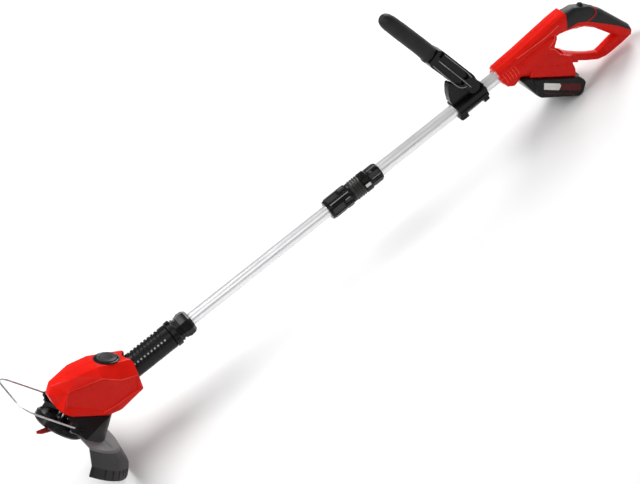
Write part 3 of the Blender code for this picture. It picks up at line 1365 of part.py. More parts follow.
def battery():
    front = side_prism("battery_front", BATTERY_FRONT, BATTERY_FRONT_HALF_WIDTH)
    pack = part("battery_pack", side_prism("battery_pack", BATTERY_BODY, BATTERY_HALF_WIDTH), HANDLE, BLACK_PLASTIC)
    bevel(pack, 4 * MM, 2, 25)
    nose = fuse(pack, "battery_front", front, HANDLE)
    bevel(nose, 3 * MM, 2, 25)
    rail_low = 4 * MM
    rail = box_mesh("rail", (RAIL_START, -RAIL_HALF_WIDTH, rail_low), (RAIL_END, RAIL_HALF_WIDTH, RAIL_TOP))
    fuse(pack, "battery_rail", rail, HANDLE)
    lips = box_mesh("lips", (RAIL_START, -LIP_HALF_WIDTH, LIP_LOW), (RAIL_END, LIP_HALF_WIDTH, RAIL_TOP))
    fuse(pack, "battery_lips", lips, HANDLE)
    block_start = RAIL_START - TERMINAL_ROOM + GAP
    block = part(
        "terminal_block",
        box_mesh(
            "terminal_block",
            (block_start, -RAIL_HALF_WIDTH + 1 * MM, WEB_BOTTOM),
            (RAIL_START - 1 * MM, RAIL_HALF_WIDTH - 1 * MM, RAIL_TOP),
        ),
        HANDLE,
        GREY_PLASTIC,
    )
    blades = bmesh.new()
    slots = bmesh.new()
    for y in TERMINAL_PLACES:
        for bm, grow, start in ((blades, 0, -3 * MM), (slots, RAIL_CLEARANCE, -5 * MM)):
            size = (TERMINAL_LENGTH - start + grow, TERMINAL_THICK + 2 * grow, 4 * MM + 2 * grow)
            middle = (RAIL_START + (TERMINAL_LENGTH + start + grow) / 2, y, 15 * MM)
            bmesh.ops.create_cube(bm, size=1, matrix=Matrix.Translation(middle) @ Matrix.Diagonal((*size, 1)))
    fuse(block, "terminals", finish_mesh("terminals", blades, smooth=False), HANDLE)
    cut(pack, "terminal_slots", finish_mesh("terminal_slots", slots, smooth=False), HANDLE)
    (a_one, c_one), (a_two, c_two) = LATCH_SLOPE
    middle = ((a_one + a_two) / 2 * MM, 0, (c_one + c_two) / 2 * MM)
    latch_frame = new_frame("latch_frame", HANDLE, middle, math.atan2(c_one - c_two, a_two - a_one))
    half_long = 5 * MM
    depth = LATCH_TRAVEL + 3 * MM
    pocket = box_mesh(
        "pocket",
        (-half_long - GAP, -LATCH_HALF_WIDTH - GAP, -depth - GAP),
        (half_long + GAP, LATCH_HALF_WIDTH + GAP, 10 * MM),
    )
    cut(pack, "latch_pocket", pocket, latch_frame)
    latch = box_mesh(
        "latch", (-half_long, -LATCH_HALF_WIDTH, LATCH_TRAVEL - depth), (half_long, LATCH_HALF_WIDTH, 2.2 * MM)
    )
    body = part("battery_latch", latch, latch_frame, GREY_PLASTIC)
    bevel(body, 0.8 * MM, 2)


def world_points():
    """Every corner of every piece in the world frame, as one array."""
    bpy.context.view_layer.update()
    graph = bpy.context.evaluated_depsgraph_get()
    found = []
    for body in PARTS.objects:
        if body.type != "MESH":
            continue
        evaluated = body.evaluated_get(graph)
        mesh = evaluated.to_mesh()
        corners = np.empty(len(mesh.vertices) * 3)
        mesh.vertices.foreach_get("co", corners)
        evaluated.to_mesh_clear()
        world = np.array(body.matrix_world)
        found.append(corners.reshape(-1, 3) @ world[:3, :3].T + world[:3, 3])
    return np.concatenate(found)


def rest_on_floor():
    """Tips the tool so that the guard's rim and the battery both touch the floor, with the box centred over it."""
    points = world_points()
    across, height = points[:, 0], points[:, 2]
    middle = (across.min() + across.max()) / 2
    front = np.flatnonzero(across < middle)
    rear = np.flatnonzero(across >= middle)
    tip = 0.0
    for _ in range(4):
        lowered = height * math.cos(tip) - across * math.sin(tip)
        one = front[np.argmin(lowered[front])]
        other = rear[np.argmin(lowered[rear])]
        tip = math.atan2(height[other] - height[one], across[other] - across[one])
    TOOL.rotation_euler = (0, tip, 0)
    points = world_points()
    low, high = points.min(axis=0), points.max(axis=0)
    TOOL.location = (-(low[0] + high[0]) / 2, -(low[1] + high[1]) / 2, -low[2])


motor_housing()
motor_and_shaft()
cutter_disc()
swinging_blade()
guard_hood()
plant_guard()
tilt_button()
swivel_sleeve()
release_ring()
tube_collar()
telescope()
aux_clamp()
aux_arm()
aux_grip()
aux_knob()
SHELLS, PAD = rear_housing()
rear_cavities(SHELLS, PAD)
trigger_and_switch(SHELLS, PAD)
battery()
rest_on_floor()
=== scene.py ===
import json
import math

import bmesh
import bpy
import numpy as np
from mathutils import Matrix, Vector
from mathutils.bvhtree import BVHTree


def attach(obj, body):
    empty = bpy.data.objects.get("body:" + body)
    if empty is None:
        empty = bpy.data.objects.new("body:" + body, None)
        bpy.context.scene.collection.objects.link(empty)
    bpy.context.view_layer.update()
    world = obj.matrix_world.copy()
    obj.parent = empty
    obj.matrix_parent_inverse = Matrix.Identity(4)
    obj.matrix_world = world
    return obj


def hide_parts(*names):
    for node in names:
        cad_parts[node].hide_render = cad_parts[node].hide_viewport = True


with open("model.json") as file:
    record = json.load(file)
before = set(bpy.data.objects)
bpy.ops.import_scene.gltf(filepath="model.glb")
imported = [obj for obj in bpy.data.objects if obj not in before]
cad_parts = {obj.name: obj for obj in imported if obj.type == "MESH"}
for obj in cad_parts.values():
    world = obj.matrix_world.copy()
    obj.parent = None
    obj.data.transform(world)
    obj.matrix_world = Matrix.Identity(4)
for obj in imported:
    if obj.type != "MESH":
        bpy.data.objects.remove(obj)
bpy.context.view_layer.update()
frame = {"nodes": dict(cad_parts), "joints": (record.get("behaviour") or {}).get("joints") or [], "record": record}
MM = 0.001
NODES = frame["nodes"]
JOINTS = {joint["name"]: joint for joint in frame["joints"]}


# Frames of the tool, as in the CAD source: x along the tube, r and h in the head,
# a and c in the rear handle
HEAD_ANGLE = 61.7
HANDLE_ANGLE = 38
ARM_ANGLE = -18.7
HANDLE_X = 0.9906


def frame_matrix(origin, x_way):
    x = Vector(x_way).normalized()
    y = Vector((0, 1, 0))
    z = x.cross(y)
    matrix = Matrix.Identity(4)
    for column, way in enumerate((x, y, z)):
        for row in range(3):
            matrix[row][column] = way[row]
    return Matrix.Translation(Vector(origin)) @ matrix


def turned_way(x_way, degrees):
    """The way turned down about +Y, as the CAD source turns its frames."""
    return Matrix.Rotation(math.radians(degrees), 3, "Y") @ Vector(x_way)


ALONG = Vector(JOINTS["telescope"]["axis"])
TOOL = frame_matrix(JOINTS["disc_spin"]["pos_m"], ALONG)
HEAD = frame_matrix(JOINTS["disc_spin"]["pos_m"], turned_way(ALONG, HEAD_ANGLE))
HANDLE = frame_matrix(TOOL @ Vector((HANDLE_X, 0, 0)), turned_way(ALONG, HANDLE_ANGLE))
ARM = frame_matrix(JOINTS["aux_arm_tilt"]["pos_m"], turned_way(ALONG, ARM_ANGLE))


# Materials
def new_material(name):
    material = bpy.data.materials.new(name)
    material.use_nodes = True
    tree = material.node_tree
    return material, tree, tree.nodes["Principled BSDF"]


def noise(tree, scale, detail):
    place = tree.nodes.new("ShaderNodeTexCoord")
    texture = tree.nodes.new("ShaderNodeTexNoise")
    texture.inputs["Scale"].default_value = scale
    texture.inputs["Detail"].default_value = detail
    texture.inputs["Roughness"].default_value = 0.55
    tree.links.new(place.outputs["Object"], texture.inputs["Vector"])
    return texture.outputs["Fac"]


def spread(tree, value, low, high, start=0.3, end=0.7):
    node = tree.nodes.new("ShaderNodeMapRange")
    node.inputs["From Min"].default_value = start
    node.inputs["From Max"].default_value = end
    node.inputs["To Min"].default_value = low
    node.inputs["To Max"].default_value = high
    tree.links.new(value, node.inputs["Value"])
    return node.outputs["Result"]


def ramp(tree, value, stops, interpolation="LINEAR"):
    node = tree.nodes.new("ShaderNodeValToRGB")
    node.color_ramp.interpolation = interpolation
    elements = node.color_ramp.elements
    while len(elements) < len(stops):
        elements.new(0.5)
    for element, (position, colour) in zip(elements, stops):
        element.position = position
        element.color = (*colour, 1)
    tree.links.new(value, node.inputs["Fac"])
    return node.outputs["Color"]


def bump(tree, shader, value, strength, distance):
    node = tree.nodes.new("ShaderNodeBump")
    node.inputs["Strength"].default_value = strength
    node.inputs["Distance"].default_value = distance
    tree.links.new(value, node.inputs["Height"])
    tree.links.new(node.outputs["Normal"], shader.inputs["Normal"])


def coordinate(tree, place, axis):
    """How far a point lies along one axis of a frame of the tool, in metres."""
    way = Vector(place.col[axis][:3])
    source = tree.nodes.new("ShaderNodeTexCoord")
    dot = tree.nodes.new("ShaderNodeVectorMath")
    dot.operation = "DOT_PRODUCT"
    dot.inputs[1].default_value = way
    tree.links.new(source.outputs["Object"], dot.inputs[0])
    less = tree.nodes.new("ShaderNodeMath")
    less.operation = "SUBTRACT"
    less.inputs[1].default_value = way.dot(place.translation)
    tree.links.new(dot.outputs["Value"], less.inputs[0])
    return less.outputs["Value"]


def plastic(name, low, high, rough, grain=900, depth=0.00006, gloss=0.35):
    """Moulded plastic: a faint mottle in the colour, a spark-eroded grain and uneven gloss."""
    material, tree, shader = new_material(name)
    colour = ramp(tree, noise(tree, 22, 3), [(0.35, low), (0.65, high)])
    tree.links.new(colour, shader.inputs["Base Color"])
    tree.links.new(spread(tree, noise(tree, 60, 5), rough[0], rough[1]), shader.inputs["Roughness"])
    bump(tree, shader, noise(tree, grain, 2), 0.35, depth)
    shader.inputs["Specular IOR Level"].default_value = gloss
    return material


def guard_tones_and_painted_light():
    """One moulding in tones by height: black collar, grey plate, dark skirt, darker rim. The plate's lighter grey
    against the darker skirt is partly their own tones and partly painted light from above.
    """
    material, tree, shader = new_material("guard_tones_and_painted_light")
    height = spread(tree, coordinate(tree, HEAD, 2), 0, 1, -0.030, 0.030)
    # From the rim up: darker rim, dark skirt, grey plate, black collar; the plate's lighter grey is partly painted
    # light from above.
    stops = [
        (0, (0.009, 0.009, 0.01)),
        (0.34, (0.023, 0.022, 0.024)),
        (0.66, (0.12, 0.115, 0.12)),
        (0.73, (0.005, 0.005, 0.006)),
    ]
    banded = ramp(tree, height, stops, "CONSTANT")
    mix = tree.nodes.new("ShaderNodeMix")
    mix.data_type = "RGBA"
    mix.blend_type = "MULTIPLY"
    mix.inputs["Factor"].default_value = 1
    mottle = ramp(tree, noise(tree, 30, 3), [(0.35, (0.86, 0.86, 0.86)), (0.65, (1, 1, 1))])
    tree.links.new(banded, mix.inputs["A"])
    tree.links.new(mottle, mix.inputs["B"])
    tree.links.new(mix.outputs["Result"], shader.inputs["Base Color"])
    tree.links.new(spread(tree, noise(tree, 60, 5), 0.34, 0.48), shader.inputs["Roughness"])
    bump(tree, shader, noise(tree, 900, 2), 0.35, 0.00006)
    shader.inputs["Specular IOR Level"].default_value = 0.2
    return material


def metal(name, low, high, rough, stretch=(1, 1, 1), scale=120, metallic=1.0):
    """Drawn or plated metal: fine lines along one way, with uneven gloss."""
    material, tree, shader = new_material(name)
    shader.inputs["Metallic"].default_value = metallic
    place = tree.nodes.new("ShaderNodeTexCoord")
    mapping = tree.nodes.new("ShaderNodeMapping")
    mapping.inputs["Scale"].default_value = stretch
    texture = tree.nodes.new("ShaderNodeTexNoise")
    texture.inputs["Scale"].default_value = scale
    texture.inputs["Detail"].default_value = 3
    tree.links.new(place.outputs["Object"], mapping.inputs["Vector"])
    tree.links.new(mapping.outputs["Vector"], texture.inputs["Vector"])
    lines = texture.outputs["Fac"]
    tree.links.new(ramp(tree, lines, [(0.35, low), (0.65, high)]), shader.inputs["Base Color"])
    tree.links.new(spread(tree, lines, rough[0], rough[1]), shader.inputs["Roughness"])
    bump(tree, shader, lines, 0.15, 0.00003)
    return material


RED = plastic("red_plastic", (0.62, 0.0075, 0.003), (0.7, 0.01, 0.0045), (0.24, 0.34),
              grain=700, depth=0.00003, gloss=0.12)
RED_MATT = plastic("red_blade_plastic", (0.5, 0.014, 0.01), (0.58, 0.02, 0.013), (0.38, 0.5))
# A paler red for the crease beads: painted highlight along the housings' edges.
RED_PAINTED_HIGHLIGHT = plastic("red_painted_highlight", (0.86, 0.06, 0.035), (0.95, 0.1, 0.06), (0.3, 0.4),
                   grain=700, depth=0.00002, gloss=0.3)
GREY_BLACK = plastic("grip_black", (0.014, 0.014, 0.015), (0.024, 0.024, 0.025), (0.26, 0.36),
                     depth=0.00004)
# A pale grey for rib edges, rims and tiles on the dark parts: painted highlight.
GREY_PAINTED_HIGHLIGHT = plastic("grey_painted_highlight", (0.2, 0.2, 0.205), (0.34, 0.34, 0.345), (0.3, 0.4),
               grain=700, depth=0.00003, gloss=0.4)
OLIVE = plastic("thread_plastic", (0.009, 0.009, 0.007), (0.017, 0.017, 0.013), (0.3, 0.4),
                depth=0.00004, gloss=0.4)
DEEP_RED = plastic("deep_red_line", (0.07, 0.004, 0.006), (0.1, 0.006, 0.008), (0.3, 0.42),
                   depth=0.00003, gloss=0.2)
BLACK = plastic("black_plastic", (0.0035, 0.0035, 0.004), (0.007, 0.007, 0.0075), (0.2, 0.32),
                depth=0.00004, gloss=0.2)
GUARD = guard_tones_and_painted_light()
GREY = plastic("grey_plastic", (0.05, 0.05, 0.051), (0.075, 0.075, 0.076), (0.4, 0.55))
PALE = plastic("pale_panel", (0.62, 0.6, 0.58), (0.72, 0.7, 0.68), (0.35, 0.45),
               grain=500, depth=0.00002)
SOFT = plastic("soft_grip", (0.007, 0.007, 0.0075), (0.012, 0.012, 0.0125), (0.45, 0.6),
               grain=1600, depth=0.00008, gloss=0.3)
TUBE_METAL = metal("tube_aluminium", (0.82, 0.82, 0.83), (0.9, 0.9, 0.91), (0.26, 0.36),
                   stretch=(0.03, 1, 1), scale=400, metallic=0.72)
STEEL = metal("plated_steel", (0.36, 0.36, 0.37), (0.48, 0.48, 0.49), (0.28, 0.4))
LOOKS = {
    "red_housing": RED,
    "red_blade": RED_MATT,
    "black_plastic": BLACK,
    "grey_plastic": GREY,
    "soft_grip": SOFT,
    "aluminium": TUBE_METAL,
    "steel": STEEL,
}


SHARP_ANGLE = 24
EASED_WIDTH = 0.4
EASED_ANGLE = 28


def ease_edges(body, width, segments, angle):
    """Rounds the edges that turn more than the angle, with a width in millimetres."""
    ease = body.modifiers.new("ease", "BEVEL")
    ease.width = width * MM
    ease.segments = segments
    ease.limit_method = "ANGLE"
    ease.angle_limit = math.radians(angle)
    ease.harden_normals = True
    ease.use_clamp_overlap = True


def dress(node, look):
    """Gives a CAD node its material, and eases its edges as moulding or machining does."""
    body = NODES[node]
    mesh = body.data
    mesh.materials.clear()
    mesh.materials.append(look)
    if "custom_normal" in mesh.attributes:
        mesh.attributes.remove(mesh.attributes["custom_normal"])
    mesh.polygons.foreach_set("use_smooth", [True] * len(mesh.polygons))
    mesh.set_sharp_from_angle(angle=math.radians(SHARP_ANGLE))
    weld = body.modifiers.new("weld", "WELD")
    weld.merge_threshold = 0.00002
    ease_edges(body, EASED_WIDTH, 2, EASED_ANGLE)


for entry in frame["record"]["subparts"]:
    dress(entry["node"], LOOKS[entry["material_slot"]])
NODES["guard_hood"].data.materials[0] = GUARD
NODES["thread_sleeve"].data.materials[0] = OLIVE


# Helpers for the pieces that the CAD leaves out
def add_mesh(name, bm, look, body=None):
    bmesh.ops.recalc_face_normals(bm, faces=bm.faces)
    mesh = bpy.data.meshes.new(name)
    bm.to_mesh(mesh)
    bm.free()
    mesh.polygons.foreach_set("use_smooth", [True] * len(mesh.polygons))
    mesh.set_sharp_from_angle(angle=math.radians(40))
    mesh.materials.append(look)
    piece = bpy.data.objects.new(name, mesh)
    bpy.context.scene.collection.objects.link(piece)
    if body:
        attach(piece, body)
    return piece


TREES = {}


def surface(node, start, way):
    """Where a ray meets a CAD node, in the world."""
    if node not in TREES:
        mesh = NODES[node].data
        corners = [vertex.co.copy() for vertex in mesh.vertices]
        faces = [list(face.vertices) for face in mesh.polygons]
        TREES[node] = BVHTree.FromPolygons(corners, faces)
    return TREES[node].ray_cast(Vector(start), Vector(way).normalized())[0]


def side_points(place, nodes, outline, side, lift, start=80):
    """Points of an (x, z) side view laid on the nodes' near (-1) or far (1) flank.

    The lift stands them off the flank, or sinks them where it is below 0, in millimetres.
    """
    points = []
    way = Vector((0, -side, 0))
    for x, z in outline:
        origin = place @ Vector((x * MM, side * start * MM, z * MM))
        hits = [hit for hit in (surface(node, origin, way) for node in nodes) if hit]
        if hits:
            nearest = min(hits, key=lambda hit: (hit - origin).length)
            points.append(nearest - way * lift * MM)
    return points


def finer(outline, steps):
    """A smooth run of points through the given ones."""
    result = []
    count = len(outline)
    for i in range(count - 1):
        p0, p1 = Vector(outline[max(i - 1, 0)]), Vector(outline[i])
        p2, p3 = Vector(outline[i + 1]), Vector(outline[min(i + 2, count - 1)])
        for step in range(steps):
            t = step / steps
            point = 2 * p1 + (p2 - p0) * t + (2 * p0 - 5 * p1 + 4 * p2 - p3) * t * t
            result.append(tuple((point + (3 * p1 - p0 - 3 * p2 + p3) * t ** 3) / 2))
    result.append(tuple(outline[-1]))
    return result


def bead(bm, points, radius, sides=8):
    """Adds a round bead along the points, with tapered ends."""
    rows = []
    count = len(points)
    for i, point in enumerate(points):
        way = (points[min(i + 1, count - 1)] - points[max(i - 1, 0)]).normalized()
        across = way.cross(Vector((0, 1, 0)))
        if across.length < 0.2:
            across = way.cross(Vector((0, 0, 1)))
        across.normalize()
        up = way.cross(across)
        size = radius * MM * (0.35 if i in (0, count - 1) else 1)
        ring = []
        for k in range(sides):
            angle = 2 * math.pi * k / sides
            corner = point + across * size * math.cos(angle) + up * size * math.sin(angle)
            ring.append(bm.verts.new(corner))
        rows.append(ring)
    for one, other in zip(rows, rows[1:]):
        for k in range(sides):
            bm.faces.new((one[k], one[(k + 1) % sides], other[(k + 1) % sides], other[k]))
    bm.faces.new(rows[0])
    bm.faces.new(list(reversed(rows[-1])))


def slab(bm, low_ring, high_ring):
    """Adds a thin closed slab between two rings of equal count."""
    low = [bm.verts.new(point) for point in low_ring]
    high = [bm.verts.new(point) for point in high_ring]
    count = len(low)
    for i in range(count):
        j = (i + 1) % count
        bm.faces.new((low[i], low[j], high[j], high[i]))
    bm.faces.new(list(reversed(low)))
    bm.faces.new(high)


PANEL_SINK = 0.6
PANEL_DRAFT = 0.35


def wrap_slab(bm, start, end, from_angle, to_angle, radius, rise, steps):
    """Adds a raised panel on a round piece of the tube. Angles run up from the near side."""
    rings = []
    for level, grow in ((radius - PANEL_SINK, 0.0), (radius + rise, -PANEL_DRAFT)):
        ring = []
        edges = []
        for i in range(steps + 1):
            edges.append((end + grow, from_angle + (to_angle - from_angle) * i / steps))
        for i in range(steps + 1):
            edges.append((start - grow, to_angle + (from_angle - to_angle) * i / steps))
        for x, angle in edges:
            turn = math.radians(angle)
            y, z = -level * MM * math.cos(turn), level * MM * math.sin(turn)
            ring.append(TOOL @ Vector((x * MM, y, z)))
        rings.append(ring)
    slab(bm, rings[0], rings[1])


# Motor housing: the two shells with the flank panels, crest and chin of the moulding.
# A corner is (r, y, h) in millimetres, with y for the far flank and mirrored for the near one.
HEAD_CORNERS = {
    "nose_top": (-56, 8, 64),
    "nose_low": (-51, 8, 43.5),
    "chin": (-31, 14, 31),
    "throat": (-22, 32, 29.5),
    "brow": (-28, 24, 100),
    "top_front": (-1, 24, 127),
    "top_rear": (55, 19, 159.5),
    "neck": (63, 23, 156.5),
    "crest_front": (-34, 30, 67.2),
    "crest_middle": (8.6, 41, 115.5),
    "crest_dip": (44.7, 41, 124.5),
    "crest_rear": (71.4, 41, 144.6),
    "panel_rear": (88, 41, 121.5),
    "panel_low": (59.5, 41, 75),
    "panel_foot": (45, 41, 57.6),
    "panel_front": (-22, 32, 39.4),
    "rear": (98, 36, 122.5),
    "rear_low": (78, 37, 73),
    "floor_rear": (57, 39, 55.2),
    "floor_front": (-8, 40, 31.5),
}
HEAD_PANELS = [
    ["crest_front", "crest_middle", "panel_foot", "panel_front"],
    ["crest_middle", "crest_dip", "crest_rear", "panel_rear", "panel_low", "panel_foot"],
]
HEAD_FACES = [
    ["nose_top", "crest_front", "brow"],
    ["brow", "crest_front", "crest_middle"],
    ["brow", "crest_middle", "top_front"],
    ["top_front", "crest_middle", "crest_dip"],
    ["top_front", "crest_dip", "top_rear"],
    ["top_rear", "crest_dip", "crest_rear"],
    ["top_rear", "crest_rear", "neck"],
    ["nose_top", "nose_low", "crest_front"],
    ["nose_low", "chin", "crest_front"],
    ["chin", "throat", "crest_front"],
    ["throat", "panel_front", "crest_front"],
    ["crest_rear", "rear", "panel_rear"],
    ["panel_rear", "rear", "rear_low"],
    ["panel_rear", "rear_low", "panel_low"],
    ["panel_low", "rear_low", "floor_rear"],
    ["panel_low", "floor_rear", "panel_foot"],
    ["panel_foot", "floor_rear", "floor_front", "panel_front"],
    ["panel_front", "floor_front", "throat"],
]
HEAD_LOOP = [
    "nose_top", "brow", "top_front", "top_rear", "neck", "crest_rear", "rear",
    "rear_low", "floor_rear", "floor_front", "throat", "chin", "nose_low",
]
PANEL_RIM = 4.5
PANEL_DEPTH = 3


def rod(bm, start, end, radius, end_radius=None, sides=24):
    """Adds a closed cylinder or cone between two points."""
    start, end = Vector(start), Vector(end)
    along = end - start
    turn = along.to_track_quat("Z", "Y").to_matrix().to_4x4()
    bmesh.ops.create_cone(
        bm,
        cap_ends=True,
        segments=sides,
        radius1=radius,
        radius2=radius if end_radius is None else end_radius,
        depth=along.length,
        matrix=Matrix.Translation((start + end) / 2) @ turn,
    )


def head_form(bm):
    """The closed body of both shells, with sunk flank panels."""
    corner = {}
    for name, (r, y, h) in HEAD_CORNERS.items():
        for side in (-1, 1):
            corner[name, side] = bm.verts.new((r * MM, side * y * MM, h * MM))
    panels = []
    for side in (-1, 1):
        for names in HEAD_FACES:
            bm.faces.new([corner[name, side] for name in names])
        sunk = []
        for names in HEAD_PANELS:
            sunk.append(bm.faces.new([corner[name, side] for name in names]))
        panels.append(sunk)
    for one, other in zip(HEAD_LOOP, HEAD_LOOP[1:] + HEAD_LOOP[:1]):
        bm.faces.new((corner[one, -1], corner[one, 1], corner[other, 1], corner[other, -1]))
    bmesh.ops.recalc_face_normals(bm, faces=bm.faces)
    for faces in panels:
        bmesh.ops.inset_region(
            bm, faces=faces, thickness=PANEL_RIM * MM, depth=-PANEL_DEPTH * MM, use_even_offset=True
        )


def cut_with(body, cutter_bm, name):
    """Cuts the cutter's form out of the body, and returns the cutter."""
    bmesh.ops.recalc_face_normals(cutter_bm, faces=cutter_bm.faces)
    mesh = bpy.data.meshes.new(name)
    cutter_bm.to_mesh(mesh)
    cutter_bm.free()
    tool = bpy.data.objects.new(name, mesh)
    bpy.context.scene.collection.objects.link(tool)
    step = body.modifiers.new(name, "BOOLEAN")
    step.operation = "DIFFERENCE"
    step.solver = "EXACT"
    step.object = tool
    return tool


SLIVER = 0.004


def bake(form, tools, name, look, body, node, angle, place=None):
    """Keeps the cut form as one mesh that stands for a CAD node."""
    graph = bpy.context.evaluated_depsgraph_get()
    mesh = bpy.data.meshes.new_from_object(form.evaluated_get(graph))
    mesh.name = name
    for old in [form] + tools:
        bpy.data.objects.remove(old, do_unlink=True)
    bm = bmesh.new()
    bm.from_mesh(mesh)
    bmesh.ops.remove_doubles(bm, verts=bm.verts, dist=SLIVER * MM)
    bmesh.ops.dissolve_degenerate(bm, edges=bm.edges, dist=SLIVER * MM)
    bm.to_mesh(mesh)
    bm.free()
    if place:
        mesh.transform(place)
    mesh.materials.clear()
    mesh.materials.append(look)
    mesh.polygons.foreach_set("use_smooth", [True] * len(mesh.polygons))
    mesh.set_sharp_from_angle(angle=math.radians(angle))
    piece = bpy.data.objects.new(name, mesh)
    bpy.context.scene.collection.objects.link(piece)
    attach(piece, body)
    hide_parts(node)
    return piece


# Bores of the head in metres. Those on the disc's axis have a low end, a high end and a radius:
# the motor's bay, the shaft's bore and the bushing's.
AXIS_BORES = ((0.0477, 0.0993, 0.0191), (0, 0.048, 0.004), (0.0387, 0.048, 0.0063))
BALL_RADIUS = 0.0246
TILT_PIN_BORE = 0.0033
TILT_REACH = 20
BUTTON_WELL = 0.0191
BUTTON_DISH = 0.0261
SCREW_HEAD_BORE = 0.0035
SCREW_BORE = 0.0019
HALF_GAP = 0.00015
# Housing screws by (r, h) and guard screws by (r, y), in millimetres
HEAD_SCREWS = ((-27, 52), (4, 108), (40, 106), (62, 74))
GUARD_SCREWS = ((38, 25), (-5, 30))


def button_seat():
    """Where the button's axis meets the rear top facet, and the way out of it, in the head's frame."""
    front, rear = Vector((-0.001, 0, 0.127)), Vector((0.055, 0, 0.1595))
    up = -(HEAD.to_3x3().inverted() @ Vector(JOINTS["tilt_button_press"]["axis"]))
    return front + (rear - front) * 0.42, up


def head_cutters():
    """What the shells leave free: motor bay, ball and sleeve, pin, button well, and screws."""
    hinge = Vector(HEAD.inverted() @ Vector(JOINTS["head_tilt"]["pos_m"]))
    made = []

    def cut(start, end, radius, end_radius=None, sides=24):
        bm = bmesh.new()
        rod(bm, start, end, radius, end_radius, sides)
        made.append(bm)

    for low, high, radius in AXIS_BORES:
        cut((0, 0, low), (0, 0, high), radius)
    pin = Vector((0, 0.0263, 0))
    cut(hinge - pin, hinge + pin, TILT_PIN_BORE, sides=12)
    ball = bmesh.new()
    bmesh.ops.create_uvsphere(
        ball, u_segments=24, v_segments=16, radius=BALL_RADIUS, matrix=Matrix.Translation(hinge)
    )
    made.append(ball)
    for i in range(5):
        turn = math.radians(HEAD_ANGLE + TILT_REACH - 10 * i)
        way = Vector((math.cos(turn), 0, math.sin(turn)))
        cut(hinge, hinge + way * 0.06, BALL_RADIUS, sides=32)
    seat, up = button_seat()
    cut(seat - up * 0.008, seat + up * 0.02, BUTTON_WELL, sides=48)
    cut(seat - up * 0.003, seat + up * 0.004, BUTTON_WELL, BUTTON_DISH, 48)
    for r, h in HEAD_SCREWS:
        cut((r * MM, 0.0217, h * MM), (r * MM, 0.06, h * MM), SCREW_HEAD_BORE, sides=20)
        cut((r * MM, -0.0153, h * MM), (r * MM, 0.023, h * MM), SCREW_BORE, sides=12)
    for r, y in GUARD_SCREWS:
        low = (34.4 + 0.365 * r) * MM
        for side in (-1, 1):
            foot = Vector((r * MM, side * y * MM, low))
            cut(foot - Vector((0, 0, 0.01)), foot + Vector((0, 0, 0.0083)), SCREW_BORE, sides=12)
    return made


def motor_housing_skin():
    """Each shell is its half of the head form, with eased corners, less what it leaves free."""
    for side, name in ((-1, "motor_housing_left"), (1, "motor_housing_right")):
        bm = bmesh.new()
        head_form(bm)
        mesh = bpy.data.meshes.new(f"{name}_skin")
        bm.to_mesh(mesh)
        bm.free()
        form = bpy.data.objects.new(f"{name}_form", mesh)
        bpy.context.scene.collection.objects.link(form)
        ease = form.modifiers.new("ease", "BEVEL")
        ease.width = 1.5 * MM
        ease.segments = 2
        ease.limit_method = "ANGLE"
        ease.angle_limit = math.radians(9)
        tools = []
        half = bmesh.new()
        centre = Matrix.Translation((0.02, -side * 0.1 + side * HALF_GAP, 0.08))
        bmesh.ops.create_cube(half, size=1, matrix=centre @ Matrix.Diagonal((0.4, 0.2, 0.4, 1)))
        for number, cutter in enumerate([half] + head_cutters()):
            tools.append(cut_with(form, cutter, f"{name}_cut_{number}"))
        bake(form, tools, f"{name}_skin", RED, "head", name, SHARP_ANGLE, HEAD)


SHELL_CUTS = [
    # outline in the handle's side view, and the nearest and farthest reach from the middle
    ([(149, 31), (153.5, 24), (153.5, 9.3), (176, 9.3), (176, 31)], -30, 30),
    ([(145.5, 37.5), (149.1, 30.4), (176.7, 30.4), (176.7, 52), (143.5, 52)], 13.3, 31),
    ([(145.5, 37.5), (149.1, 30.4), (176.7, 30.4), (176.7, 52), (143.5, 52)], -31, -13.3),
    ([(110, 86.5), (104.5, 85), (102, 67), (118, 50), (126, 49)], -30, 30),
    ([(16, -14), (20.5, -5.6), (32.5, -5.4), (36, -1), (41.5, 9), (46, 9), (46, -14)], -30, 30),
]


def trimmed_copy(node, cuts, look, body, edge):
    """A piece with a CAD node's mesh, cut back by slabs that are given by their two end rings."""
    form = bpy.data.objects.new(f"{node}_form", NODES[node].data.copy())
    bpy.context.scene.collection.objects.link(form)
    weld = form.modifiers.new("weld", "WELD")
    weld.merge_threshold = 0.000002
    tools = []
    for number, (one, other) in enumerate(cuts):
        bm = bmesh.new()
        slab(bm, one, other)
        tools.append(cut_with(form, bm, f"{node}_cut_{number}"))
    piece = bake(form, tools, f"{node}_skin", look, body, node, SHARP_ANGLE)
    ease_edges(piece, edge, 2, SHARP_ANGLE)


def rear_housing_skin():
    """The rear shells with the web's back edge, the window's front edge and the chin cut back."""
    cuts = []
    for outline, low, high in SHELL_CUTS:
        rings = []
        for y in (low, high):
            rings.append([HANDLE @ Vector((a * MM, y * MM, c * MM)) for a, c in outline])
        cuts.append(rings)
    for name in ("rear_housing_left", "rear_housing_right"):
        trimmed_copy(name, cuts, RED, "shaft_and_handle", 0.9)


SCOOPS = ((913.6, 951.2), (962.4, 975))
SCOOP = ((20.9, -5.5), (12, -12.2), (7.5, -18.9), (20.9, -18.9))
CREST = [
    (900, 13), (898.5, 25), (902.5, 40), (909, 53), (913.5, 59),
    (917, 56.5), (923, 47), (931, 37), (936, 28), (930, 13),
]
CREST_HALF = 8.6


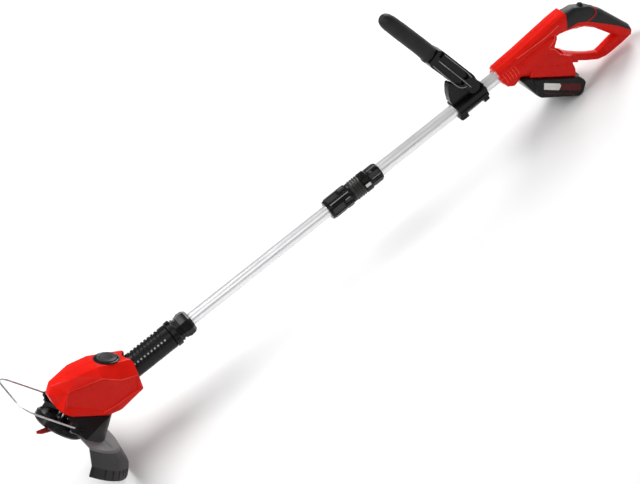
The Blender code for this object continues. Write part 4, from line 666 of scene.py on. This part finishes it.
def clamp_skin():
    """The clamp's lower half, scooped out between its screw bosses, and the tongue's tall crest."""
    cuts = []
    for side in (-1, 1):
        for ends in SCOOPS:
            rings = []
            for x in ends:
                rings.append([TOOL @ Vector((x * MM, side * y * MM, z * MM)) for y, z in SCOOP])
            cuts.append(rings)
    trimmed_copy("aux_clamp_lower", cuts, BLACK, "aux_clamp", 0.8)
    rings = []
    for y in (-CREST_HALF, CREST_HALF):
        rings.append([TOOL @ Vector((x * MM, y * MM, z * MM)) for x, z in CREST])
    bm = bmesh.new()
    slab(bm, *rings)
    piece = add_mesh("clamp_tongue_crest", bm, BLACK, "aux_clamp")
    ease_edges(piece, 1.2, 3, 28)


TANG_BORE = 0.0083
GRIP_SQUARENESS = 2.2
GRIP_SECTIONS = [
    # along the arm, near and far edge of the side view, half depth
    (110.2, -16.6, 13.2, 12.4),
    (111.4, -18.3, 14.6, 13.6),
    (116, -18.2, 15.2, 14.2),
    (117.2, -17.3, 14.9, 14.0),
    (124, -16, 15.6, 14.3),
    (140, -15.3, 15.9, 14.6),
    (190, -15.1, 15.9, 15),
    (221, -14.6, 15.2, 14.6),
    (231, -13.3, 13.6, 13.2),
    (237.5, -10.6, 10.8, 10.2),
    (241.5, -6.5, 6.5, 6),
]


def side_grip_skin():
    """The soft grip: straight above, flared below at its mouth, with a rolled lip."""
    bm = bmesh.new()
    rings = []
    count = 40
    for along, low, high, deep in GRIP_SECTIONS:
        ring = []
        for k in range(count):
            turn = 2 * math.pi * k / count
            cos, sin = math.cos(turn), math.sin(turn)
            squared = abs(cos) ** GRIP_SQUARENESS + abs(sin) ** GRIP_SQUARENESS
            reach = squared ** (-1 / GRIP_SQUARENESS)
            a = (low + high) / 2 + (high - low) / 2 * cos * reach
            ring.append(bm.verts.new(ARM @ Vector((a * MM, deep * sin * reach * MM, along * MM))))
        rings.append(ring)
    for one, other in zip(rings, rings[1:]):
        for k in range(count):
            bm.faces.new((one[k], one[(k + 1) % count], other[(k + 1) % count], other[k]))
    bm.faces.new(list(reversed(rings[0])))
    bm.faces.new(rings[-1])
    bmesh.ops.recalc_face_normals(bm, faces=bm.faces)
    mesh = bpy.data.meshes.new("side_grip_form")
    bm.to_mesh(mesh)
    bm.free()
    form = bpy.data.objects.new("side_grip_form", mesh)
    bpy.context.scene.collection.objects.link(form)
    bore = bmesh.new()
    rod(bore, ARM @ Vector((0, 0, 0.1)), ARM @ Vector((0, 0, 0.2215)), TANG_BORE)
    tool = cut_with(form, bore, "side_grip_bore")
    bake(form, [tool], "side_grip_skin", SOFT, "aux_arm", "aux_grip", 32)


def lathe(bm, place, profile, segments=48, ring_shaped=False):
    """Turns a (radius, height) profile about the z of a frame, and caps it or closes it as a ring."""
    rings = []
    for radius, height in profile:
        ring = []
        for k in range(segments):
            turn = 2 * math.pi * k / segments
            x, y = radius * MM * math.cos(turn), radius * MM * math.sin(turn)
            ring.append(bm.verts.new(place @ Vector((x, y, height * MM))))
        rings.append(ring)
    if ring_shaped:
        rings.append(rings[0])
    for one, other in zip(rings, rings[1:]):
        for k in range(segments):
            bm.faces.new((one[k], one[(k + 1) % segments], other[(k + 1) % segments], other[k]))
    if not ring_shaped:
        bm.faces.new(list(reversed(rings[0])))
        bm.faces.new(rings[-1])


BUTTON_PROFILE = [
    # radius and height over the facet
    (18.4, -4.6), (18.5, 0.2), (18.5, 2.6), (18.1, 3.5), (17.2, 3.9), (15.6, 3.9),
    (15.0, 3.5), (14.4, 3.5), (13.8, 3.8), (10, 3.2), (6, 2.9), (2, 2.8),
]
# A black ring round the button's well: partly a bezel, partly painted shade round the button.
BEZEL_AND_SHADE_PROFILE = [(19.4, -3.2), (19.4, 1.4), (20.2, 2), (22.2, 1.6), (23.6, 0.6), (21.4, -3.2)]


def tilt_button_cap():
    """The round button with its rolled edge, groove and shallow dish, and a black bezel round its well, which is
    partly painted shade in the well.
    """
    seat, up = button_seat()
    turn = up.to_track_quat("Z", "Y").to_matrix().to_4x4()
    place = HEAD @ Matrix.Translation(seat) @ turn
    bm = bmesh.new()
    lathe(bm, place, BUTTON_PROFILE)
    piece = add_mesh("tilt_button_cap", bm, GREY_BLACK, "tilt_button")
    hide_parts("tilt_button")
    dark_ring = bmesh.new()
    lathe(dark_ring, place, BEZEL_AND_SHADE_PROFILE, ring_shaped=True)
    add_mesh("tilt_button_bezel_and_shade", dark_ring, BLACK, "head")


RIM_RIB_ANGLES = (-84, -72, -63, -54.5, -47, -41, -33, -20, -5, 10, 25, 40, 55, 70)
RIM_RIB_ENDS = (
    # inner radius, outer radius, height
    (141.0, 143.2, -9.2),
    (147.0, 148.8, -25),
)
PLATE_SEAM = [(71.0, -41), (72.2, -41), (73.4, -72), (72.0, -72)]
SEAM_HEIGHTS = (12.2, 12.75)


def guard_details():
    """Short ribs down the skirt's rim, and the seam across the plate."""
    ribs = bmesh.new()
    for angle in RIM_RIB_ANGLES:
        turn = math.radians(angle)
        out = Vector((math.cos(turn), math.sin(turn), 0))
        across = Vector((-math.sin(turn), math.cos(turn), 0))
        rings = []
        for inner, outer, h in RIM_RIB_ENDS:
            ring = []
            for reach, half in ((inner, -1), (outer, -1), (outer, 1), (inner, 1)):
                ring.append(HEAD @ (out * reach * MM + across * half * MM + Vector((0, 0, h * MM))))
            rings.append(ring)
        slab(ribs, *rings)
    piece = add_mesh("guard_rim_ribs", ribs, GUARD, "head")
    line = bmesh.new()
    rings = []
    for h in SEAM_HEIGHTS:
        rings.append([HEAD @ Vector((r * MM, y * MM, h * MM)) for r, y in PLATE_SEAM])
    slab(line, *rings)
    piece = add_mesh("guard_plate_seam", line, BLACK, "head")


CREASE_RUNS = [
    ["crest_front", "crest_middle", "crest_dip", "crest_rear"],
    ["top_front", "crest_middle"],
    ["panel_front", "crest_front"],
    ["panel_foot", "panel_low", "panel_rear"],
]


def head_creases():
    """Raised edge lines of the housing, sunk a little into its faces and paler than them: painted highlight along
    the edges.
    """
    lines = bmesh.new()
    middle_r, middle_h = 35, 85
    for side in (-1, 1):
        for number, names in enumerate(CREASE_RUNS):
            points = []
            for name in names:
                r, y, h = HEAD_CORNERS[name]
                inward = Vector((middle_r - r, -side * y, middle_h - h)).normalized() * 0.35
                points.append(HEAD @ ((Vector((r, side * y, h)) + inward) * MM))
            bead(lines, points, 0.5 if number == 0 else 0.4)
    piece = add_mesh("motor_housing_crease_highlights", lines, RED_PAINTED_HIGHLIGHT, "head")


FIRST_TILE = 236.6
TILE_PITCH = 7.5
TILE_LENGTH = 3.6


def sleeve_tiles():
    """Small tiles between the sleeve's grooves, in a pale grey that is painted highlight."""
    tiles = bmesh.new()
    for i in range(10):
        end = FIRST_TILE - i * TILE_PITCH
        wrap_slab(tiles, end - TILE_LENGTH, end, 30, 38, 23.5, 0.35, 2)
    piece = add_mesh("sleeve_index_tiles", tiles, GREY_PAINTED_HIGHLIGHT, "swivel")


ROUND_GRIPS = [
    # name, body, look, degrees from one to the next, and the raised panels, each by its start and end
    # along the tube, its two angles, the radius, the rise and its steps
    # The grips' grey, a little lighter than the black nut, is partly painted highlight on the raised panels and
    # partly their own tone.
    ("lock_nut_grips", "lock_nut", GREY_BLACK, 72, [
        (611, 656, 51, 54, 19.2, 1.1, 2),
        (640, 653.5, 4, 19, 19.0, 0.9, 4),
        (612, 636, -8, 22, 19.0, 0.7, 6),
    ] + [(619 + 5 * i, 621.4 + 5 * i, 55, 62, 18.8, 1.3, 2) for i in range(7)]),
    # Rib stripes in pale grey: painted highlight along the ribs' edges.
    ("lock_nut_rib_highlights", "lock_nut", GREY_PAINTED_HIGHLIGHT, 72, [
        (613, 654, 46.5, 50, 19.2, 1.5, 2),
        (641, 652, 20, 23, 19.2, 1.0, 2),
    ]),
    ("upper_collar_grips", "shaft_and_handle", GREY_BLACK, 60, [(700, 721, 24, 50, 16.6, 1.2, 6)]),
    ("upper_collar_rib_highlights", "shaft_and_handle", GREY_PAINTED_HIGHLIGHT, 60, [(702, 721, 17, 19.5, 16.6, 1.7, 2)]),
]


def nut_details():
    """Raised grip panels and rib stripes on the lock nut and the collar behind it, and the collar's plain mark.
    The stripes' pale grey is painted highlight, and the panels' grey is partly painted highlight, partly their own
    tone.
    """
    for name, body, look, pitch, panels in ROUND_GRIPS:
        bm = bmesh.new()
        for turn in range(0, 360, pitch):
            for start, end, low, high, radius, rise, steps in panels:
                wrap_slab(bm, start, end, low + turn, high + turn, radius, rise, steps)
        add_mesh(name, bm, look, body)
    mark = bmesh.new()
    wrap_slab(mark, 685.2, 696.5, 0, 17, 19.6, 0.12, 4)
    piece = add_mesh("collar_plain_mark", mark, PALE, "shaft_and_handle")


ARM_RIMS = [
    [(-13.6, 103), (-15.4, 66), (-16.6, 34), (-13, 21), (-6, 15)],
    [(-0.5, 98), (-1.2, 60), (-2.2, 22), (-3, 6)],
    [(14.3, 96), (14, 60), (13.6, 32), (11.5, 18)],
]
ARM_HALF = 17.0


def arm_details():
    """Rims of the two channels in the side handle's arm, on both sides, in a pale grey that is painted highlight
    along them.
    """
    rims = bmesh.new()
    for side in (-1, 1):
        for outline in ARM_RIMS:
            points = []
            for a, w in finer(outline, 5):
                points.append(ARM @ Vector((a * MM, side * ARM_HALF * MM, w * MM)))
            bead(rims, points, 0.75)
    piece = add_mesh("side_arm_rim_highlights", rims, GREY_PAINTED_HIGHLIGHT, "aux_arm")


def pad_details():
    """Red piping that parts the pad's soft halves, down both flanks and over the top."""
    piping = bmesh.new()
    seam = [
        (183.5, 133), (185.3, 128), (183.2, 122.4), (175.9, 116),
        (168.5, 110.5), (156.2, 107.4), (144.5, 105.6),
    ]
    for side in (-1, 1):
        points = side_points(HANDLE, ["rear_grip_pad"], finer(seam, 5), side, 0.15)
        bead(piping, points, 0.75)
    over = []
    for i in range(-8, 9):
        origin = HANDLE @ Vector((184.5 * MM, i * 1.6 * MM, 0.19))
        hit = surface("rear_grip_pad", origin, HANDLE.to_3x3() @ Vector((0, 0, -1)))
        if hit:
            over.append(hit)
    bead(piping, over, 0.75)
    piece = add_mesh("pad_piping", piping, RED, "shaft_and_handle")


def housing_details():
    """Moulded crease lines on both flanks of the rear housing, and the short ribs at its nose, in a paler red:
    painted highlight along them.
    """
    lines = bmesh.new()
    shells = {-1: ["rear_housing_left"], 1: ["rear_housing_right"]}
    runs = [
        [(29.5, 43.6), (60.5, 67), (86.5, 87), (107, 106)],
        [(103.5, 89), (97, 76), (90.5, 65)],
        [(91, 63.5), (103, 61.5), (117, 52)],
    ]
    cos, sin = math.cos(math.radians(HANDLE_ANGLE)), math.sin(math.radians(HANDLE_ANGLE))
    for number in range(5):
        along = 14 + 6.5 * number
        runs.append([(along * cos - n * sin, along * sin + n * cos) for n in (9, 3, -3, -9)])
    for side in (-1, 1):
        for number, run in enumerate(runs):
            points = side_points(HANDLE, shells[side], finer(run, 6), side, -0.25)
            if len(points) > 3:
                bead(lines, points, 0.8 if number < 3 else 0.6)
    piece = add_mesh("rear_housing_crease_highlights", lines, RED_PAINTED_HIGHLIGHT, "shaft_and_handle")


PALE_FIELD = [(84, 3), (118, 1), (121.5, -4), (118.5, -12), (86, -9.6)]
DARK_FIELD = [(119.5, 1), (163, -1.5), (165, -14.6), (120, -12.2), (123, -4)]
THIN_LINE = [(88, -15.6), (158, -20.6), (158.4, -22), (88.4, -17.2)]
BATTERY_HALF = 37.5


def battery_details():
    """Plain fields on both flanks of the battery: one pale, one dark, and a thin red line."""
    fields = [
        ("battery_pale_panel", PALE, PALE_FIELD, 0.25),
        ("battery_dark_panel", DEEP_RED, DARK_FIELD, 0.2),
        ("battery_red_line", DEEP_RED, THIN_LINE, 0.2),
    ]
    for name, look, outline, rise in fields:
        bm = bmesh.new()
        for side in (-1, 1):
            rings = []
            for y in (BATTERY_HALF - 0.2, BATTERY_HALF + rise):
                rings.append([HANDLE @ Vector((a * MM, side * y * MM, c * MM)) for a, c in outline])
            slab(bm, *rings)
        piece = add_mesh(name, bm, look, "battery")


motor_housing_skin()
tilt_button_cap()
rear_housing_skin()
side_grip_skin()
clamp_skin()
guard_details()
head_creases()
sleeve_tiles()
nut_details()
arm_details()
pad_details()
housing_details()
battery_details()


# Stage: floor, lights and the photograph's camera
def floor():
    material, _, shader = new_material("floor")
    shader.inputs["Base Color"].default_value = (0.8, 0.8, 0.8, 1)
    shader.inputs["Roughness"].default_value = 0.8
    shader.inputs["Specular IOR Level"].default_value = 0.1
    bm = bmesh.new()
    bmesh.ops.create_grid(bm, x_segments=1, y_segments=1, size=30)
    add_mesh("floor", bm, material)


def light(name, place, aim, size, power):
    lamp = bpy.data.lights.new(name, "AREA")
    lamp.size = size
    lamp.energy = power
    body = bpy.data.objects.new(name, lamp)
    bpy.context.scene.collection.objects.link(body)
    body.location = place
    body.rotation_euler = (Vector(aim) - Vector(place)).to_track_quat("-Z", "Y").to_euler()


def stage():
    floor()
    world = bpy.context.scene.world or bpy.data.worlds.new("world")
    bpy.context.scene.world = world
    world.use_nodes = True
    background = world.node_tree.nodes["Background"]
    background.inputs["Color"].default_value = (1.0, 1.0, 1.0, 1)
    background.inputs["Strength"].default_value = 0.3
    bpy.context.scene.view_settings.view_transform = "Standard"
    light("key", (-1.4, 0.6, 3.0), (-0.1, 0, 0), 2.4, 116)
    light("fill", (-1.6, -2.8, 2.0), (0, 0, 0.1), 1.2, 8)
    light("front", TOOL @ Vector((0.45, -1.6, 1.5)), TOOL @ Vector((0.45, 0, 0)), 1.2, 6)
    light("back", (1.7, 1.3, 1.0), (-0.4, 0, 0.1), 0.9, 34)


FOCAL_PIXELS = 2900
PICTURE_PIXELS = 640
SENSOR_MM = 36
DISTANCE = 5.156
MIDDLE_X = 0.589
MIDDLE_LIFT = 0.0446
# The ways along the tube, to the tool's right side and up, each as the camera's right, up and back
SEEN_WAYS = [[0.776, 0.616, -0.132], [-0.449, 0.393, -0.802], [-0.443, 0.682, 0.582]]


def camera():
    """Sets the camera where the photograph's one stood, from the tool's ways as it sees them."""
    one, _, other = np.linalg.svd(np.array(SEEN_WAYS).T)
    turn = one @ other
    middle = np.array([0, MIDDLE_LIFT, 0])
    place = turn.T @ (np.array([0, 0, DISTANCE]) - middle) + np.array([MIDDLE_X, 0, 0])
    matrix = Matrix.Identity(4)
    for row in range(3):
        for column in range(3):
            matrix[row][column] = turn.T[row, column]
        matrix[row][3] = place[row]
    data = bpy.data.cameras.new("camera")
    data.lens = FOCAL_PIXELS / PICTURE_PIXELS * SENSOR_MM
    data.sensor_width = SENSOR_MM
    data.clip_end = 100
    body = bpy.data.objects.new("camera", data)
    bpy.context.scene.collection.objects.link(body)
    body.matrix_world = TOOL @ matrix
    bpy.context.scene.camera = body


stage()
camera()
